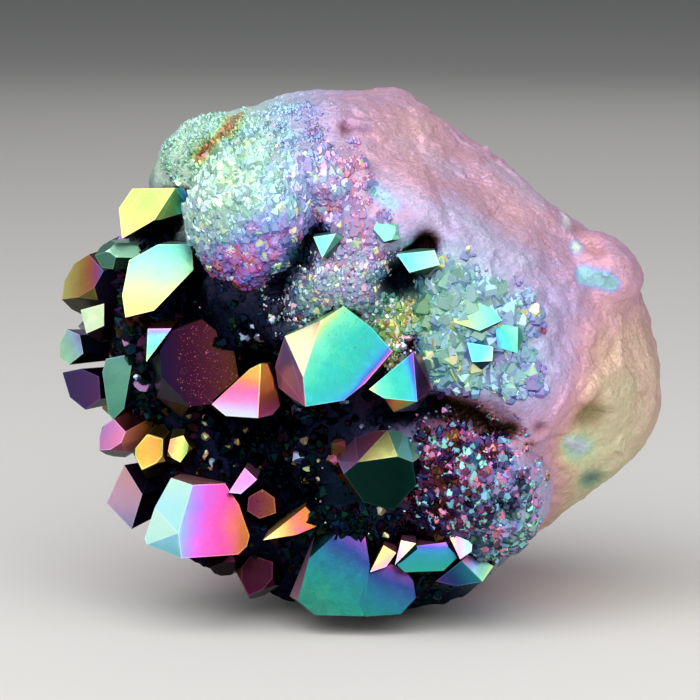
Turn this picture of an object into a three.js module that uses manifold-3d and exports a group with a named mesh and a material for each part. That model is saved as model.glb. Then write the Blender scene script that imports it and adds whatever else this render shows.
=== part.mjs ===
// Aura quartz cluster: a broken lump of massive quartz whose front and left are lined with crystals.
// Millimetres, +Z up. The front faces -Y. It rests on a flat cut at z = 0.

import * as THREE from 'three';
import { ConvexGeometry } from 'three/addons/geometries/ConvexGeometry.js';
import { ImprovedNoise } from 'three/addons/math/ImprovedNoise.js';
import { mergeVertices } from 'three/addons/utils/BufferGeometryUtils.js';
import Module from 'manifold-3d';

// Quartz: the tip faces slope at one fixed angle to the crystal's long axis.
const tipFaceSlope = THREE.MathUtils.degToRad(38.2);
const sidesOfCrystal = 6;
const rootTaper = 0.8;

// The lump
const lumpCentre = new THREE.Vector3(1, 1, 21);
const lumpDetail = 9;
const lobeDetail = 3;
const edgeSharpness = 34;
const waveLength = 5;
const lumpWave = 0.7;
const lobeWave = 0.16;

// Finishes: colour, roughness, metalness
const lumpFinish = { color: 0xcda9be, roughness: 0.5, metalness: 0.4 };
const crystalFinish = { roughness: 0.3, metalness: 0.7 };

// Fits
const seatGap = 0.3;
const clearanceSpread = 1.4;
const cutterSize = 120;
const mergeDistance = 1e-4;

// The lump's broken faces: the way each one faces, and how far it stands from the lump's centre.
const brokenFaces = [
  { faces: [-0.12, 0.05, 0.99], stands: 21.3 },
  { faces: [-0.33, -0.05, 0.94], stands: 23 },
  { faces: [-0.88, 0, 0.47], stands: 23.3 },
  { faces: [0.6, 0, 0.8], stands: 18.8 },
  { faces: [0.5, -0.4, 0.77], stands: 18.4 },
  { faces: [0.99, 0, 0.14], stands: 23.9 },
  { faces: [0.79, 0, -0.61], stands: 23.2 },
  { faces: [0.6, -0.1, -0.79], stands: 20.6 },
  { faces: [0.05, 0, -1], stands: 22 },
  { faces: [-1, 0, 0], stands: 17.6 },
  { faces: [-0.6, -0.1, -0.8], stands: 20.5 },
  { faces: [0, -1, 0], stands: 14.2 },
  { faces: [0.05, -0.7, 0.7], stands: 19.4 },
  { faces: [0.66, -0.7, 0.28], stands: 19.6 },
  { faces: [0.45, -0.7, -0.55], stands: 17.6 },
  { faces: [-0.65, -0.76, 0.1], stands: 15 },
  { faces: [-0.1, -0.7, -0.7], stands: 18.5 },
  { faces: [0.1, 1, 0.05], stands: 18.6 },
  { faces: [-0.35, 0.9, 0.35], stands: 18.6 },
  { faces: [0.45, 0.86, -0.3], stands: 18.8 },
  { faces: [-0.7, 0.7, 0.15], stands: 18.8 },
  { faces: [0.68, 0.72, 0.2], stands: 19.4 },
  { faces: [0.1, 0.72, 0.7], stands: 19.8 },
  { faces: [-0.1, 0.7, -0.72], stands: 20 },
];

// Rounded lobes grown out of the lump: middle, half sizes.
const lobes = [
  { at: [-1.8, 3, 36.4], half: [9.4, 12, 6.2] },
  { at: [-7.6, -9, 33.3], half: [5.3, 6.6, 5.9] },
  { at: [-2.6, -7.6, 35.8], half: [5.2, 5.6, 3.6] },
  { at: [-0.2, -9.2, 28.4], half: [5.8, 4.8, 4.4] },
  { at: [10.6, -9.2, 24.6], half: [6.2, 4, 5] },
  { at: [9.4, -9.4, 11.6], half: [6.4, 6.2, 6.2] },
  { at: [19.6, -2.6, 27.8], half: [4.2, 5, 3.4] },
  { at: [-16.4, -1, 23], half: [3.2, 6, 9] },
  { at: [-11, -4.5, 8], half: [5, 4.5, 4.6] },
  { at: [3, -6.6, 5.4], half: [8.4, 4.6, 4.6] },
];

// Hollows eaten into the lump: middle, half sizes.
const hollows = [
  { at: [-8.5, -17, 18.5], half: [5.6, 11.5, 6.4] },
  { at: [-7, -17, 11.5], half: [5.2, 9.4, 5] },
  { at: [-13, -16, 20], half: [4.6, 9, 5.4] },
  { at: [-6, -18, 26.6], half: [1.9, 6.6, 4.6] },
  { at: [5, -17, 31], half: [2.4, 4.8, 1.4] },
  { at: [4.6, -16.6, 27.6], half: [1.5, 3.2, 2.6] },
  { at: [19.6, -14.8, 16.4], half: [2.4, 4, 2.6] },
  { at: [9, 24.5, 27], half: [9, 6.4, 8] },
  { at: [-7, 24, 13], half: [8, 6, 7] },
  { at: [27.2, 9, 12], half: [5.6, 9.4, 8] },
];

// Crystals, by the solid that they share.
// One with a broken or unequal tip goes by its broad face. at: a point on that face. faces: the way it
// looks. corners: across and height of the face's corners. more: the corners round its smaller facets.
// root: the way it runs back into the lump.
// One with an even tip goes by its axis. tip: the point. points: the way the long axis goes at the tip.
// facing: the way the first tip face looks. reach: how far each side stands from the tip's axis, from
// that face round. stands: how far out past the tip each tip face stands, so that the lowest are broadest.
const clumps = {
  hero_turquoise: {
    colour: 0x3fc4b8,
    crystals: [
      {
        at: [-1, -16, 23], faces: [0.3, -0.87, 0.39],
        corners: [
          [-0.8, 26.8], [1.4, 25.1], [3.1, 23.2], [0.9, 20.9], [-0.8, 19.7], [-3.8, 19.4],
          [-4, 21.6], [-2.6, 25.8],
        ],
        more: [[-5.5, -14.3, 24.4], [-6.3, -13.3, 21.8], [-6, -14, 20.2], [-4.4, -17, 19.3]],
        root: [0.6, 9, 1],
      },
    ],
  },
  small_turquoise: {
    colour: 0x45b9b4,
    crystals: [
      {
        at: [3.2, -16.5, 21.3], faces: [-0.35, -0.85, 0.4],
        corners: [[4.7, 23.4], [1.2, 20.4], [2.4, 19.8], [5, 19.7]],
        more: [[5.6, -14.6, 22.5], [6.2, -15.8, 20.4], [3.2, -15, 18.4], [5, -15.4, 18.6]],
        root: [0.3, 7, -0.4],
      },
    ],
  },
  orange_pink: {
    colour: 0xe08a7c,
    crystals: [
      {
        at: [-8.5, -15, 20], faces: [-0.5, -0.75, 0.3],
        corners: [
          [-7.4, 22.3], [-8.3, 21.8], [-9.1, 20.8], [-11.4, 18.8], [-10.2, 18], [-7.6, 18.1],
          [-7.7, 20.8],
        ],
        more: [[-6.9, -14.2, 22.2], [-6.2, -13.8, 20.3], [-5.9, -14, 18.7], [-6.5, -14.8, 18.1]],
        root: [0.6, 8, -0.6],
      },
    ],
  },
  dark_maroon: {
    colour: 0x4c1f33,
    crystals: [
      {
        at: [-12.8, -10.3, 21], faces: [0.15, -0.9, 0.35],
        corners: [
          [-12.3, 25], [-9.8, 23], [-9.3, 20.3], [-10.6, 18.5], [-13.2, 18.3], [-15.5, 20.6],
          [-15.7, 23], [-14.7, 24.2],
        ],
        more: [[-14, -8.8, 17], [-16, -8.6, 18.6], [-16.5, -8.2, 21.9]],
        root: [1, 8, 0.6],
      },
      {
        at: [-16, -10.8, 23.4], faces: [0.1, -0.95, 0.25],
        corners: [[-16.6, 24.5], [-14.7, 24.5], [-16.7, 21.9]],
        more: [[-15.8, -10.3, 22.4], [-17, -10.2, 23.2]],
        root: [1, 6, 0.6],
      },
    ],
  },
  dark_green: {
    colour: 0x1f3a34,
    crystals: [
      {
        at: [2.2, -14.6, 12.7], faces: [0, -0.93, -0.36],
        corners: [
          [-0.8, 13.4], [0.3, 14.4], [3.5, 14.9], [4.7, 14.4], [5, 12.4], [3.2, 10.2],
          [0.8, 10.9],
        ],
        more: [
          [2.7, -13.6, 16.7], [-1.3, -13.8, 14.3], [0, -12.9, 16.5], [2.3, -13.4, 16.7],
          [-1.4, -13.6, 13], [4.1, -12.8, 16.8], [5.9, -13, 14.8],
        ],
        root: [0.2, 9, 1],
      },
    ],
  },
  yellow_top_left: {
    colour: 0xc9cf6a,
    crystals: [
      {
        at: [-17, -6, 33.8], faces: [-0.35, -0.85, 0.35],
        corners: [[-18.1, 35.3], [-14.5, 35.5], [-16.2, 32.9], [-18.9, 31.3], [-19.2, 33.7]],
        more: [
          [-13.9, -5.6, 35.4], [-13.2, -4.8, 34.3], [-13.3, -5, 33.5], [-15.7, -6.4, 32.9],
          [-16.4, -4, 31.2],
        ],
        root: [3, 6.5, -0.6],
      },
    ],
  },
  mint_left: {
    colour: 0xbfe8c8,
    crystals: [
      {
        at: [-16, -9, 28], faces: [0.1, -0.88, 0.42],
        corners: [
          [-15.9, 31], [-13.4, 31], [-13.1, 30.4], [-13, 29], [-16.1, 25.9], [-18.4, 25.4],
          [-18.7, 27.1], [-18.2, 29.8],
        ],
        more: [[-16.6, -7.4, 25.2]],
        root: [2, 7.5, 0.4],
      },
    ],
  },
  left_mint: {
    colour: 0x9fd8c0,
    crystals: [
      {
        tip: [-21.2, -5, 29.8], points: [-0.95, -0.35, 0.05], facing: [0.2, 0, 1],
        reach: [1.2, 1.2, 1.1, 1, 1.1, 1.2], stands: [0, 0.6, 0, 0.6, 0, 0.6], length: 7,
      },
    ],
  },
  left_olive: {
    colour: 0x8f8a4c,
    crystals: [
      {
        tip: [-24.2, -2, 25.8], points: [-0.85, -0.45, -0.25], facing: [0, -0.5, 0.8],
        reach: [2.6, 2.4, 2.2, 2, 2.2, 2.4], stands: [0, 0.9, 0, 0.9, 0, 0.9], length: 10,
      },
    ],
  },
  left_lime: {
    colour: 0xcfe6a0,
    crystals: [
      {
        at: [-21.4, -4.6, 24.5], faces: [-0.3, -0.9, 0.2],
        corners: [[-22.5, 25.2], [-20.5, 25.8], [-20.5, 24], [-22, 23.3]],
        more: [[-19.8, -4, 25.2], [-19.6, -3.6, 23.2], [-21, -3.4, 22.4]],
        root: [4, 5, -0.4],
      },
    ],
  },
  far_left: {
    colour: 0x8fb6c8,
    crystals: [
      {
        at: [-23.4, -2.4, 21.9], faces: [-0.35, -0.9, 0.15],
        corners: [
          [-24.5, 22], [-23.8, 23.3], [-22.7, 22.9], [-22.4, 21.4], [-23.6, 20.4],
          [-24.4, 20.9],
        ],
        more: [[-21.6, -1.6, 22.4], [-21.8, -1.4, 20.8]],
        root: [5, 5, -0.4],
      },
    ],
  },
  left_violet: {
    colour: 0x6f5f8c,
    crystals: [
      {
        at: [-22.3, -2.6, 18.2], faces: [-0.3, -0.9, -0.1],
        corners: [
          [-24.2, 19.7], [-22.6, 20.1], [-21.1, 19.5], [-21, 17.6], [-22.3, 16.6],
          [-23.6, 17.6],
        ],
        more: [[-20.2, -1.4, 18.6]],
        root: [5, 5, 0],
      },
    ],
  },
  teal_column: {
    colour: 0x6fb8a6,
    crystals: [
      {
        at: [-19.4, -6.6, 19], faces: [-0.2, -0.95, 0.15],
        corners: [[-20.3, 21.4], [-18, 21.9], [-18.8, 17.4], [-19.7, 16.5], [-20.1, 17], [-20.6, 20.3]],
        more: [[-17.4, -5.8, 21.4], [-17.9, -5.6, 18]],
        root: [3, 5, 0.4],
      },
    ],
  },
  magenta_low_left: {
    colour: 0xb0559b,
    crystals: [
      {
        at: [-11.3, -13, 9.2], faces: [0.2, -0.88, 0.4],
        corners: [
          [-13, 12], [-10.4, 12], [-9.3, 10.4], [-8.4, 8], [-8.6, 7.2], [-9.3, 6.6],
          [-13.8, 6.5], [-14.1, 8.4],
        ],
        more: [
          [-14.8, -10.6, 12.3], [-16.1, -11.4, 10], [-16.9, -12.2, 7.6], [-16.7, -12.6, 7.2],
          [-9, -11.6, 6.2],
        ],
        root: [1.4, 7.5, 0.4],
      },
    ],
  },
  peach_left: {
    colour: 0xc99bb0,
    crystals: [
      {
        at: [-18.9, -7.6, 10.2], faces: [-0.3, -0.9, 0.1],
        corners: [[-18.8, 12.8], [-17.3, 10.5], [-18.2, 7.6], [-20.3, 9.6]],
        more: [[-16.9, -6, 11.6], [-17.2, -6, 8]],
        root: [3, 5.5, 0.2],
      },
    ],
  },
  pink_left: {
    colour: 0xc47f8a,
    crystals: [
      {
        tip: [-21, -5, 13.6], points: [-0.8, -0.45, -0.4], facing: [0.2, -0.5, 0.8],
        reach: [1.7, 1.6, 1.5, 1.4, 1.5, 1.6], stands: [0, 0.6, 0, 0.6, 0, 0.6], length: 9,
      },
    ],
  },
  gold_left: {
    colour: 0xb98f3f,
    crystals: [
      {
        tip: [-17.3, -8.6, 12.6], points: [-0.4, -0.85, -0.35], facing: [0.2, 0, 0.9],
        reach: [1.9, 1.6, 1.4, 1.4, 1.4, 1.6], stands: [0, 0.7, 0, 0.7, 0, 0.7], length: 8,
      },
    ],
  },
  amber_left: {
    colour: 0xc9a94f,
    crystals: [
      {
        tip: [-14.1, -9.6, 13.4], points: [-0.1, -0.92, -0.35], facing: [-0.3, 0, 0.9],
        reach: [1.4, 1.2, 1.1, 1, 1.1, 1.2], stands: [0, 0.5, 0, 0.5, 0, 0.5], length: 7,
      },
    ],
  },
  pink_pyramid: {
    colour: 0xc77fb5,
    crystals: [
      {
        at: [-9, -12, 12.2], faces: [0, -0.9, 0.4],
        corners: [[-10.1, 11.4], [-8.8, 13.3], [-7.8, 12.4], [-9.1, 11.3]],
        more: [[-8.4, -11, 11.2]],
        root: [0.6, 7, 0.4],
      },
    ],
  },
  maroon_pocket: {
    colour: 0x6a3346,
    crystals: [
      {
        at: [-7.5, -11.6, 10.4], faces: [0.1, -0.95, 0.25],
        corners: [[-8.5, 10.9], [-7.4, 11.5], [-6.4, 10.8], [-6.3, 9.6], [-7.6, 9.2], [-8.6, 9.8]],
        more: [[-5.8, -10.8, 10.2]],
        root: [0.2, 7, 0.4],
      },
    ],
  },
  gold_low: {
    colour: 0xc08a4a,
    crystals: [
      {
        at: [-4.6, -12.6, 9.2], faces: [0.2, -0.88, 0.42],
        corners: [[-7.3, 7.8], [-3.9, 10.2], [-2.6, 8.8], [-4.6, 8.1]],
        more: [[-4.8, -11.6, 7.6], [-2.8, -11.4, 8.2]],
        root: [0.4, 7, 0.6],
      },
    ],
  },
  low_dark: {
    colour: 0x4a3340,
    crystals: [
      {
        tip: [-8.6, -9.8, 2.4], points: [-0.3, -0.75, -0.5], facing: [0.3, 0, 0.9],
        reach: [2, 1.8, 1.6, 1.5, 1.6, 1.8], stands: [0, 0.7, 0, 0.7, 0, 0.7], length: 8,
      },
      {
        tip: [-11.8, -9, 4.6], points: [-0.6, -0.7, -0.3], facing: [0.3, 0, 0.9],
        reach: [1.7, 1.6, 1.4, 1.4, 1.4, 1.6], stands: [0, 0.6, 0, 0.6, 0, 0.6], length: 8,
      },
    ],
  },
  green_bottom: {
    colour: 0x2f9c80,
    crystals: [
      {
        at: [-1.5, -13.4, 4.8], faces: [-0.1, -0.96, 0.26],
        corners: [
          [-1.5, 8], [0.9, 8], [1.3, 5.7], [0.4, 3.6], [0.8, 1.7], [-3.1, 1.7],
          [-4.5, 2.8], [-3.6, 6.1],
        ],
        more: [[-5.2, -11.4, 2.7], [-3.1, -11.6, 8], [-3.4, -11.8, 1.3]],
        root: [0.4, 8, 0.4],
      },
      {
        at: [2.8, -13.7, 3.5], faces: [0.15, -0.92, 0.3],
        corners: [
          [1.3, 5.1], [2.8, 5.8], [4.2, 5.1], [4.8, 4.3], [5, 3], [3.8, 1.8], [0.9, 1.7],
          [0.4, 2.9],
        ],
        more: [[2.2, -12.6, 1.2]],
        root: [0.2, 8, 0.6],
      },
    ],
  },
  bottom_row: {
    colour: 0x4fa39c,
    crystals: [
      {
        at: [2.3, -13.8, 6.4], faces: [-0.3, -0.85, 0.4],
        corners: [[1.3, 5.2], [2.4, 7.3], [3.4, 6.8], [2.6, 5.7]],
        more: [[3.6, -12.8, 6]],
        root: [0.3, 6, 0.4],
      },
      {
        at: [4, -14.2, 7], faces: [-0.2, -0.9, 0.35],
        corners: [[3.3, 5.9], [3.8, 7.8], [5, 7.6]],
        more: [[5.2, -13.4, 6.6], [4.2, -13.4, 5.8]],
        root: [0.2, 6, 0.4],
      },
      {
        at: [5.9, -14, 6.4], faces: [0, -0.93, 0.36],
        corners: [[3.3, 6], [5, 7.3], [7.6, 7.6], [8.3, 6.4], [7.2, 5.4], [4.1, 5.3]],
        more: [[5.6, -12.8, 4.8]],
        root: [0, 6, 0.4],
      },
    ],
  },
  bottom_block: {
    colour: 0xb9a8c4,
    crystals: [
      {
        at: [8.7, -14.9, 7.7], faces: [-0.1, -0.92, 0.38],
        corners: [[7.7, 8.1], [9.6, 8.9], [9.4, 7.1], [8.5, 6.5]],
        more: [[9.9, -14, 8.6], [9.8, -13.8, 7]],
        root: [0, 6, 0.4],
      },
    ],
  },
  low_right: {
    colour: 0x5a5f9c,
    crystals: [
      {
        at: [8.8, -13.4, 4.9], faces: [0.1, -0.95, 0.2],
        corners: [[6.6, 4.4], [8.7, 6], [10.4, 4.3], [8.3, 4]],
        more: [[9.4, -12.7, 6.5], [11.3, -12.4, 5.4]],
        root: [0.2, 7, 1],
      },
    ],
  },
  side_upper: {
    colour: 0x9a86a8,
    crystals: [
      {
        tip: [-21.2, 5, 29.4], points: [-0.85, 0.3, 0.25], facing: [0, 0.3, 0.9],
        reach: [1.9, 1.7, 1.6, 1.5, 1.6, 1.8], stands: [0, 0.7, 0, 0.7, 0, 0.7], length: 8,
      },
    ],
  },
  side_middle: {
    colour: 0x6fa39c,
    crystals: [
      {
        tip: [-23.4, 5, 22.6], points: [-0.93, 0.3, -0.1], facing: [0, -0.3, 0.9],
        reach: [2.4, 2.2, 2, 1.8, 2, 2.2], stands: [0, 0.9, 0, 0.9, 0, 0.9], length: 9,
      },
    ],
  },
  side_low: {
    colour: 0xa8925c,
    crystals: [
      {
        tip: [-21.4, 4.6, 15.6], points: [-0.85, 0.3, -0.4], facing: [0.1, 0.2, 0.9],
        reach: [2, 1.8, 1.7, 1.6, 1.7, 1.9], stands: [0, 0.8, 0, 0.8, 0, 0.8], length: 8,
      },
    ],
  },
  side_back: {
    colour: 0xb07f9a,
    crystals: [
      {
        tip: [-19.4, 11.6, 24.4], points: [-0.78, 0.6, 0.1], facing: [0.2, 0.2, 0.9],
        reach: [2.3, 2, 1.8, 1.8, 1.8, 2], stands: [0, 0.8, 0, 0.8, 0, 0.8], length: 8,
      },
      {
        tip: [-18.6, 11.8, 19.4], points: [-0.8, 0.55, -0.3], facing: [0.2, 0.2, 0.9],
        reach: [1.8, 1.6, 1.5, 1.4, 1.5, 1.6], stands: [0, 0.6, 0, 0.6, 0, 0.6], length: 8,
      },
    ],
  },
  shelf_pyramid: {
    colour: 0x62c4bf,
    crystals: [
      {
        at: [-2.4, -15.2, 31.8], faces: [-0.2, -0.9, 0.35],
        corners: [[-3.2, 32.4], [-1.4, 32.7], [-2.5, 30.8]],
        more: [[-0.9, -14.6, 32.3], [-1.7, -14.4, 30.9]],
        root: [0.2, 6, 0.4],
      },
    ],
  },
  mint_block: {
    colour: 0x8fd6c6,
    crystals: [
      {
        at: [5.2, -14.8, 30.6], faces: [0, -0.9, 0.4],
        corners: [[3.4, 31], [6.4, 31.3], [6.8, 30.2], [4.4, 29.6]],
        more: [[5.8, -13.8, 29.2]],
        root: [0.2, 6, 0.4],
      },
    ],
  },
  right_flake: {
    colour: 0x86cfb0,
    crystals: [
      {
        at: [9.8, -14.2, 26], faces: [-0.1, -0.9, 0.42],
        corners: [[7.8, 27], [10.6, 27.2], [11.8, 25.7], [10, 24.9], [8, 25.5]],
        more: [[10.4, -13.2, 24.2]],
        root: [0.2, 7, 0.2],
      },
    ],
  },
  right_square: {
    colour: 0x9fd0b4,
    crystals: [
      {
        at: [12.2, -14.6, 24.3], faces: [0.2, -0.9, 0.38],
        corners: [[11.2, 25.5], [13.1, 25.1], [13, 23.1], [11.4, 23.6]],
        more: [[13.7, -13.4, 24.4]],
        root: [-0.2, 7, 0.2],
      },
    ],
  },
  right_wedge: {
    colour: 0x8fd2c4,
    crystals: [
      {
        at: [10.1, -14.6, 23.2], faces: [-0.1, -0.93, 0.35],
        corners: [[9, 23.9], [11.1, 23.6], [11, 22.5], [9.4, 22.4]],
        more: [[10.2, -13.8, 21.6], [8.6, -13.8, 22.8]],
        root: [0.2, 7, 0.4],
      },
    ],
  },
};

const wasm = await Module();
wasm.setup();

// A closed three.js shape as a solid that can be joined and cut.
function toSolid(geometry) {
  const bare = geometry.clone();
  bare.deleteAttribute('normal');
  bare.deleteAttribute('uv');
  const merged = mergeVertices(bare, mergeDistance);
  const mesh = new wasm.Mesh({
    numProp: 3,
    vertProperties: new Float32Array(merged.attributes.position.array),
    triVerts: new Uint32Array(merged.index.array),
  });
  return new wasm.Manifold(mesh);
}

// A joined or cut solid as a three.js shape.
function toGeometry(solid) {
  const mesh = solid.getMesh();
  const geometry = new THREE.BufferGeometry();
  geometry.setAttribute('position', new THREE.Float32BufferAttribute(mesh.vertProperties, 3));
  geometry.setIndex(new THREE.Uint32BufferAttribute(mesh.triVerts, 1));
  geometry.computeVertexNormals();
  return geometry;
}

// What lies beyond a plane: a large block whose near side is on it.
function beyondPlane(normal, distance) {
  const block = new THREE.BoxGeometry(cutterSize, cutterSize, cutterSize);
  block.translate(0, 0, distance + cutterSize / 2);
  const turn = new THREE.Quaternion().setFromUnitVectors(new THREE.Vector3(0, 0, 1), normal);
  block.applyQuaternion(turn);
  return toSolid(block);
}

// Everything under the flat cut that the cluster rests on.
const belowGround = beyondPlane(new THREE.Vector3(0, 0, -1), 0);

const noise = new ImprovedNoise();

// A gentle unevenness between about -1 and 1.
function unevenness(point) {
  return noise.noise(point.x / waveLength, point.y / waveLength, point.z / waveLength);
}

// A round shape whose surface lies, in each direction, as far out as reach says.
function shapeByReach(detail, reach) {
  const geometry = new THREE.IcosahedronGeometry(1, detail);
  const position = geometry.attributes.position;
  const direction = new THREE.Vector3();
  for (let i = 0; i < position.count; i += 1) {
    direction.fromBufferAttribute(position, i).normalize();
    direction.multiplyScalar(reach(direction));
    position.setXYZ(i, direction.x, direction.y, direction.z);
  }
  return geometry;
}

// The lump before anything is added: broken faces that meet in slightly rounded edges.
function lumpCore(grow) {
  const planes = brokenFaces.map((face) => ({
    normal: new THREE.Vector3(...face.faces).normalize(),
    stands: face.stands + grow,
  }));
  const core = shapeByReach(lumpDetail, (direction) => {
    let sum = 0;
    for (const plane of planes) {
      const along = Math.max(0, plane.normal.dot(direction)) / plane.stands;
      sum += along ** edgeSharpness;
    }
    const radius = sum ** (-1 / edgeSharpness);
    return radius + lumpWave * unevenness(direction.clone().multiplyScalar(radius));
  });
  core.translate(lumpCentre.x, lumpCentre.y, lumpCentre.z);
  return toSolid(core);
}

// A rounded body for a lobe or a hollow.
function roundedBody({ at, half }, grow) {
  const size = Math.max(...half);
  const body = shapeByReach(lobeDetail, (direction) => {
    const wave = unevenness(direction.clone().multiplyScalar(size));
    return 1 + lobeWave * wave;
  });
  body.scale(half[0] + grow, half[1] + grow, half[2] + grow);
  body.translate(...at);
  return toSolid(body);
}

function largestPiece(solid) {
  const pieces = solid.decompose();
  return pieces.reduce((best, piece) => (piece.volume() > best.volume() ? piece : best));
}

// The whole lump. A positive grow gives the lump with that much clearance round it.
function lumpSolid(grow) {
  let solid = lumpCore(grow);
  for (const lobe of lobes) {
    solid = solid.add(roundedBody(lobe, grow));
  }
  for (const hollow of hollows) {
    solid = solid.subtract(roundedBody(hollow, -grow));
  }
  return largestPiece(solid.subtract(belowGround));
}

// The frame of a crystal: its origin, its axis and the way its first side looks.
function frameOf(origin, axisWay, sideWay) {
  const axis = new THREE.Vector3(...axisWay).normalize();
  const side = new THREE.Vector3(...sideWay).projectOnPlane(axis).normalize();
  const across = new THREE.Vector3().crossVectors(axis, side);
  return new THREE.Matrix4().makeBasis(side, across, axis).setPosition(...origin);
}

// Turns a crystal's own frame into the cluster's frame.
function crystalPlace(crystal) {
  if (crystal.corners) {
    return frameOf(crystal.at, crystal.faces, [0, 0, 1]);
  }
  return frameOf(crystal.tip, crystal.points, crystal.facing);
}

// The front corners of an unequal crystal: those of its broad face lie in that face's plane.
function frontCorners(crystal) {
  const origin = new THREE.Vector3(...crystal.at);
  const normal = new THREE.Vector3(...crystal.faces);
  const onFace = crystal.corners.map(([across, height]) => {
    const rise = normal.x * (across - origin.x) + normal.z * (height - origin.z);
    return new THREE.Vector3(across, origin.y - rise / normal.y, height);
  });
  return onFace.concat((crystal.more ?? []).map((corner) => new THREE.Vector3(...corner)));
}

// An unequal crystal: the convex body round its front corners and the same corners drawn back to its
// root, a little closer together. A positive grow gives it with about that much clearance round it.
function facetedSolid(crystal, grow) {
  const front = frontCorners(crystal);
  const middle = front.reduce((sum, corner) => sum.add(corner), new THREE.Vector3());
  middle.divideScalar(front.length);
  const root = new THREE.Vector3(...crystal.root);
  const back = front.map((corner) => {
    const inward = corner.clone().sub(middle).multiplyScalar(rootTaper);
    return inward.add(middle).add(root);
  });
  const corners = front.concat(back);
  if (grow === 0) {
    return toSolid(new ConvexGeometry(corners));
  }
  const spread = grow * clearanceSpread;
  const swollen = [];
  for (const corner of corners) {
    for (const way of [-spread, spread]) {
      swollen.push(corner.clone().add(new THREE.Vector3(way, 0, 0)));
      swollen.push(corner.clone().add(new THREE.Vector3(0, way, 0)));
      swollen.push(corner.clone().add(new THREE.Vector3(0, 0, way)));
    }
  }
  return toSolid(new ConvexGeometry(swollen));
}

// An even crystal: a six-sided column cut to a tip by six faces at quartz's own slope. A positive grow gives
// the crystal with that much clearance round it.
function evenSolid(crystal, grow) {
  const { reach, stands, length } = crystal;
  const blankRadius = 2 * Math.max(...reach);
  const height = length + 2 * blankRadius;
  const column = new THREE.CylinderGeometry(blankRadius, blankRadius, height, sidesOfCrystal);
  column.rotateX(Math.PI / 2);
  column.translate(0, 0, height / 2 - length - grow);
  let solid = toSolid(column);
  for (let i = 0; i < sidesOfCrystal; i += 1) {
    const angle = (i * 2 * Math.PI) / sidesOfCrystal;
    const outward = new THREE.Vector3(Math.cos(angle), Math.sin(angle), 0);
    solid = solid.subtract(beyondPlane(outward, reach[i] + grow));
    const slope = outward.clone().multiplyScalar(Math.cos(tipFaceSlope));
    slope.z = Math.sin(tipFaceSlope);
    solid = solid.subtract(beyondPlane(slope, stands[i] * slope.z + grow));
  }
  return solid.transform(crystalPlace(crystal).elements);
}

function crystalSolid(crystal, grow) {
  return crystal.corners ? facetedSolid(crystal, grow) : evenSolid(crystal, grow);
}

// The crystals of a clump, joined in one solid.
function clumpSolid(clump, grow) {
  const crystals = clump.crystals.map((crystal) => crystalSolid(crystal, grow));
  return crystals.reduce((whole, crystal) => whole.add(crystal));
}

const cluster = new THREE.Group();

// Adds a solid as a mesh with its own origin, which place puts in the cluster.
function addPiece(name, solid, place, finish) {
  const geometry = toGeometry(solid);
  geometry.applyMatrix4(place.clone().invert());
  const mesh = new THREE.Mesh(geometry, new THREE.MeshStandardMaterial(finish));
  mesh.name = name;
  mesh.applyMatrix4(place);
  cluster.add(mesh);
}

const lumpPlace = new THREE.Matrix4().makeTranslation(lumpCentre);
addPiece('matrix', lumpSolid(0), lumpPlace, lumpFinish);

// Each clump stops short of the ground, of the lump and of the clumps before it.
let taken = lumpSolid(seatGap).add(belowGround);
for (const [name, clump] of Object.entries(clumps)) {
  const solid = largestPiece(clumpSolid(clump, 0).subtract(taken));
  const finish = { color: clump.colour, ...crystalFinish };
  addPiece(name, solid, crystalPlace(clump.crystals[0]), finish);
  taken = taken.add(clumpSolid(clump, seatGap));
}

// The cluster's box is centred over the origin.
const middle = new THREE.Box3().setFromObject(cluster, true).getCenter(new THREE.Vector3());
cluster.position.set(-middle.x, -middle.y, 0);

export default new THREE.Group().add(cluster);
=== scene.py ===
# Aura quartz cluster: a broken lump of massive quartz lined with quartz points, all under a thin metal film.
# Lengths in the tables are millimetres. The meshes are in metres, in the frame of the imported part.
import math

import bmesh
import bpy
import numpy as np
from mathutils import Matrix, Vector, bvhtree, kdtree, noise


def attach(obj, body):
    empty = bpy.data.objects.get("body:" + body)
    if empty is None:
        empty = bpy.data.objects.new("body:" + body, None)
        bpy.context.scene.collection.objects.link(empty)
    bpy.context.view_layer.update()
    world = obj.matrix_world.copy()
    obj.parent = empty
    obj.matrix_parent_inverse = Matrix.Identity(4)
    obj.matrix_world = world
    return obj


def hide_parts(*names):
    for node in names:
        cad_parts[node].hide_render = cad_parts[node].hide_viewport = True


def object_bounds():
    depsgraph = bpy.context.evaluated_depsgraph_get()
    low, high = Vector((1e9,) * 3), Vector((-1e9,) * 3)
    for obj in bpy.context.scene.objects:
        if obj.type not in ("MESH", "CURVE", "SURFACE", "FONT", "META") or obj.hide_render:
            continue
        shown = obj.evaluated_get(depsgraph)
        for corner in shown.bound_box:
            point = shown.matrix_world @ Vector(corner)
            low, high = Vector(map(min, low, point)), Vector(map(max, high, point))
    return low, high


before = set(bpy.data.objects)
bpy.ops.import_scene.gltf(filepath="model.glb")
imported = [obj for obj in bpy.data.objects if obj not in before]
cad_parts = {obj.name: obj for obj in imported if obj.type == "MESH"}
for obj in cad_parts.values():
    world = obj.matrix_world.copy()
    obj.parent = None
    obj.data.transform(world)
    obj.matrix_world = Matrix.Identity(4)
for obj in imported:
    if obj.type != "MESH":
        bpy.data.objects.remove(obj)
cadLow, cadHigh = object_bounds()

mm = 0.001
seed = 23
random = np.random.default_rng(seed)
noise.seed_set(seed)  # noise vectors are seeded from the clock otherwise


def spot(across, depth, height):
    # a place in the part's box, each way from 0 to 1: left to right, front to back, bottom to top
    share = (across, depth, height)
    return np.array([cadLow[i] + share[i] * (cadHigh[i] - cadLow[i]) for i in range(3)]) / mm


def frontSpot(across, height):
    # the same as seen from the front, without the depth
    return spot(across, 0, height)[[0, 2]]


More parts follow.
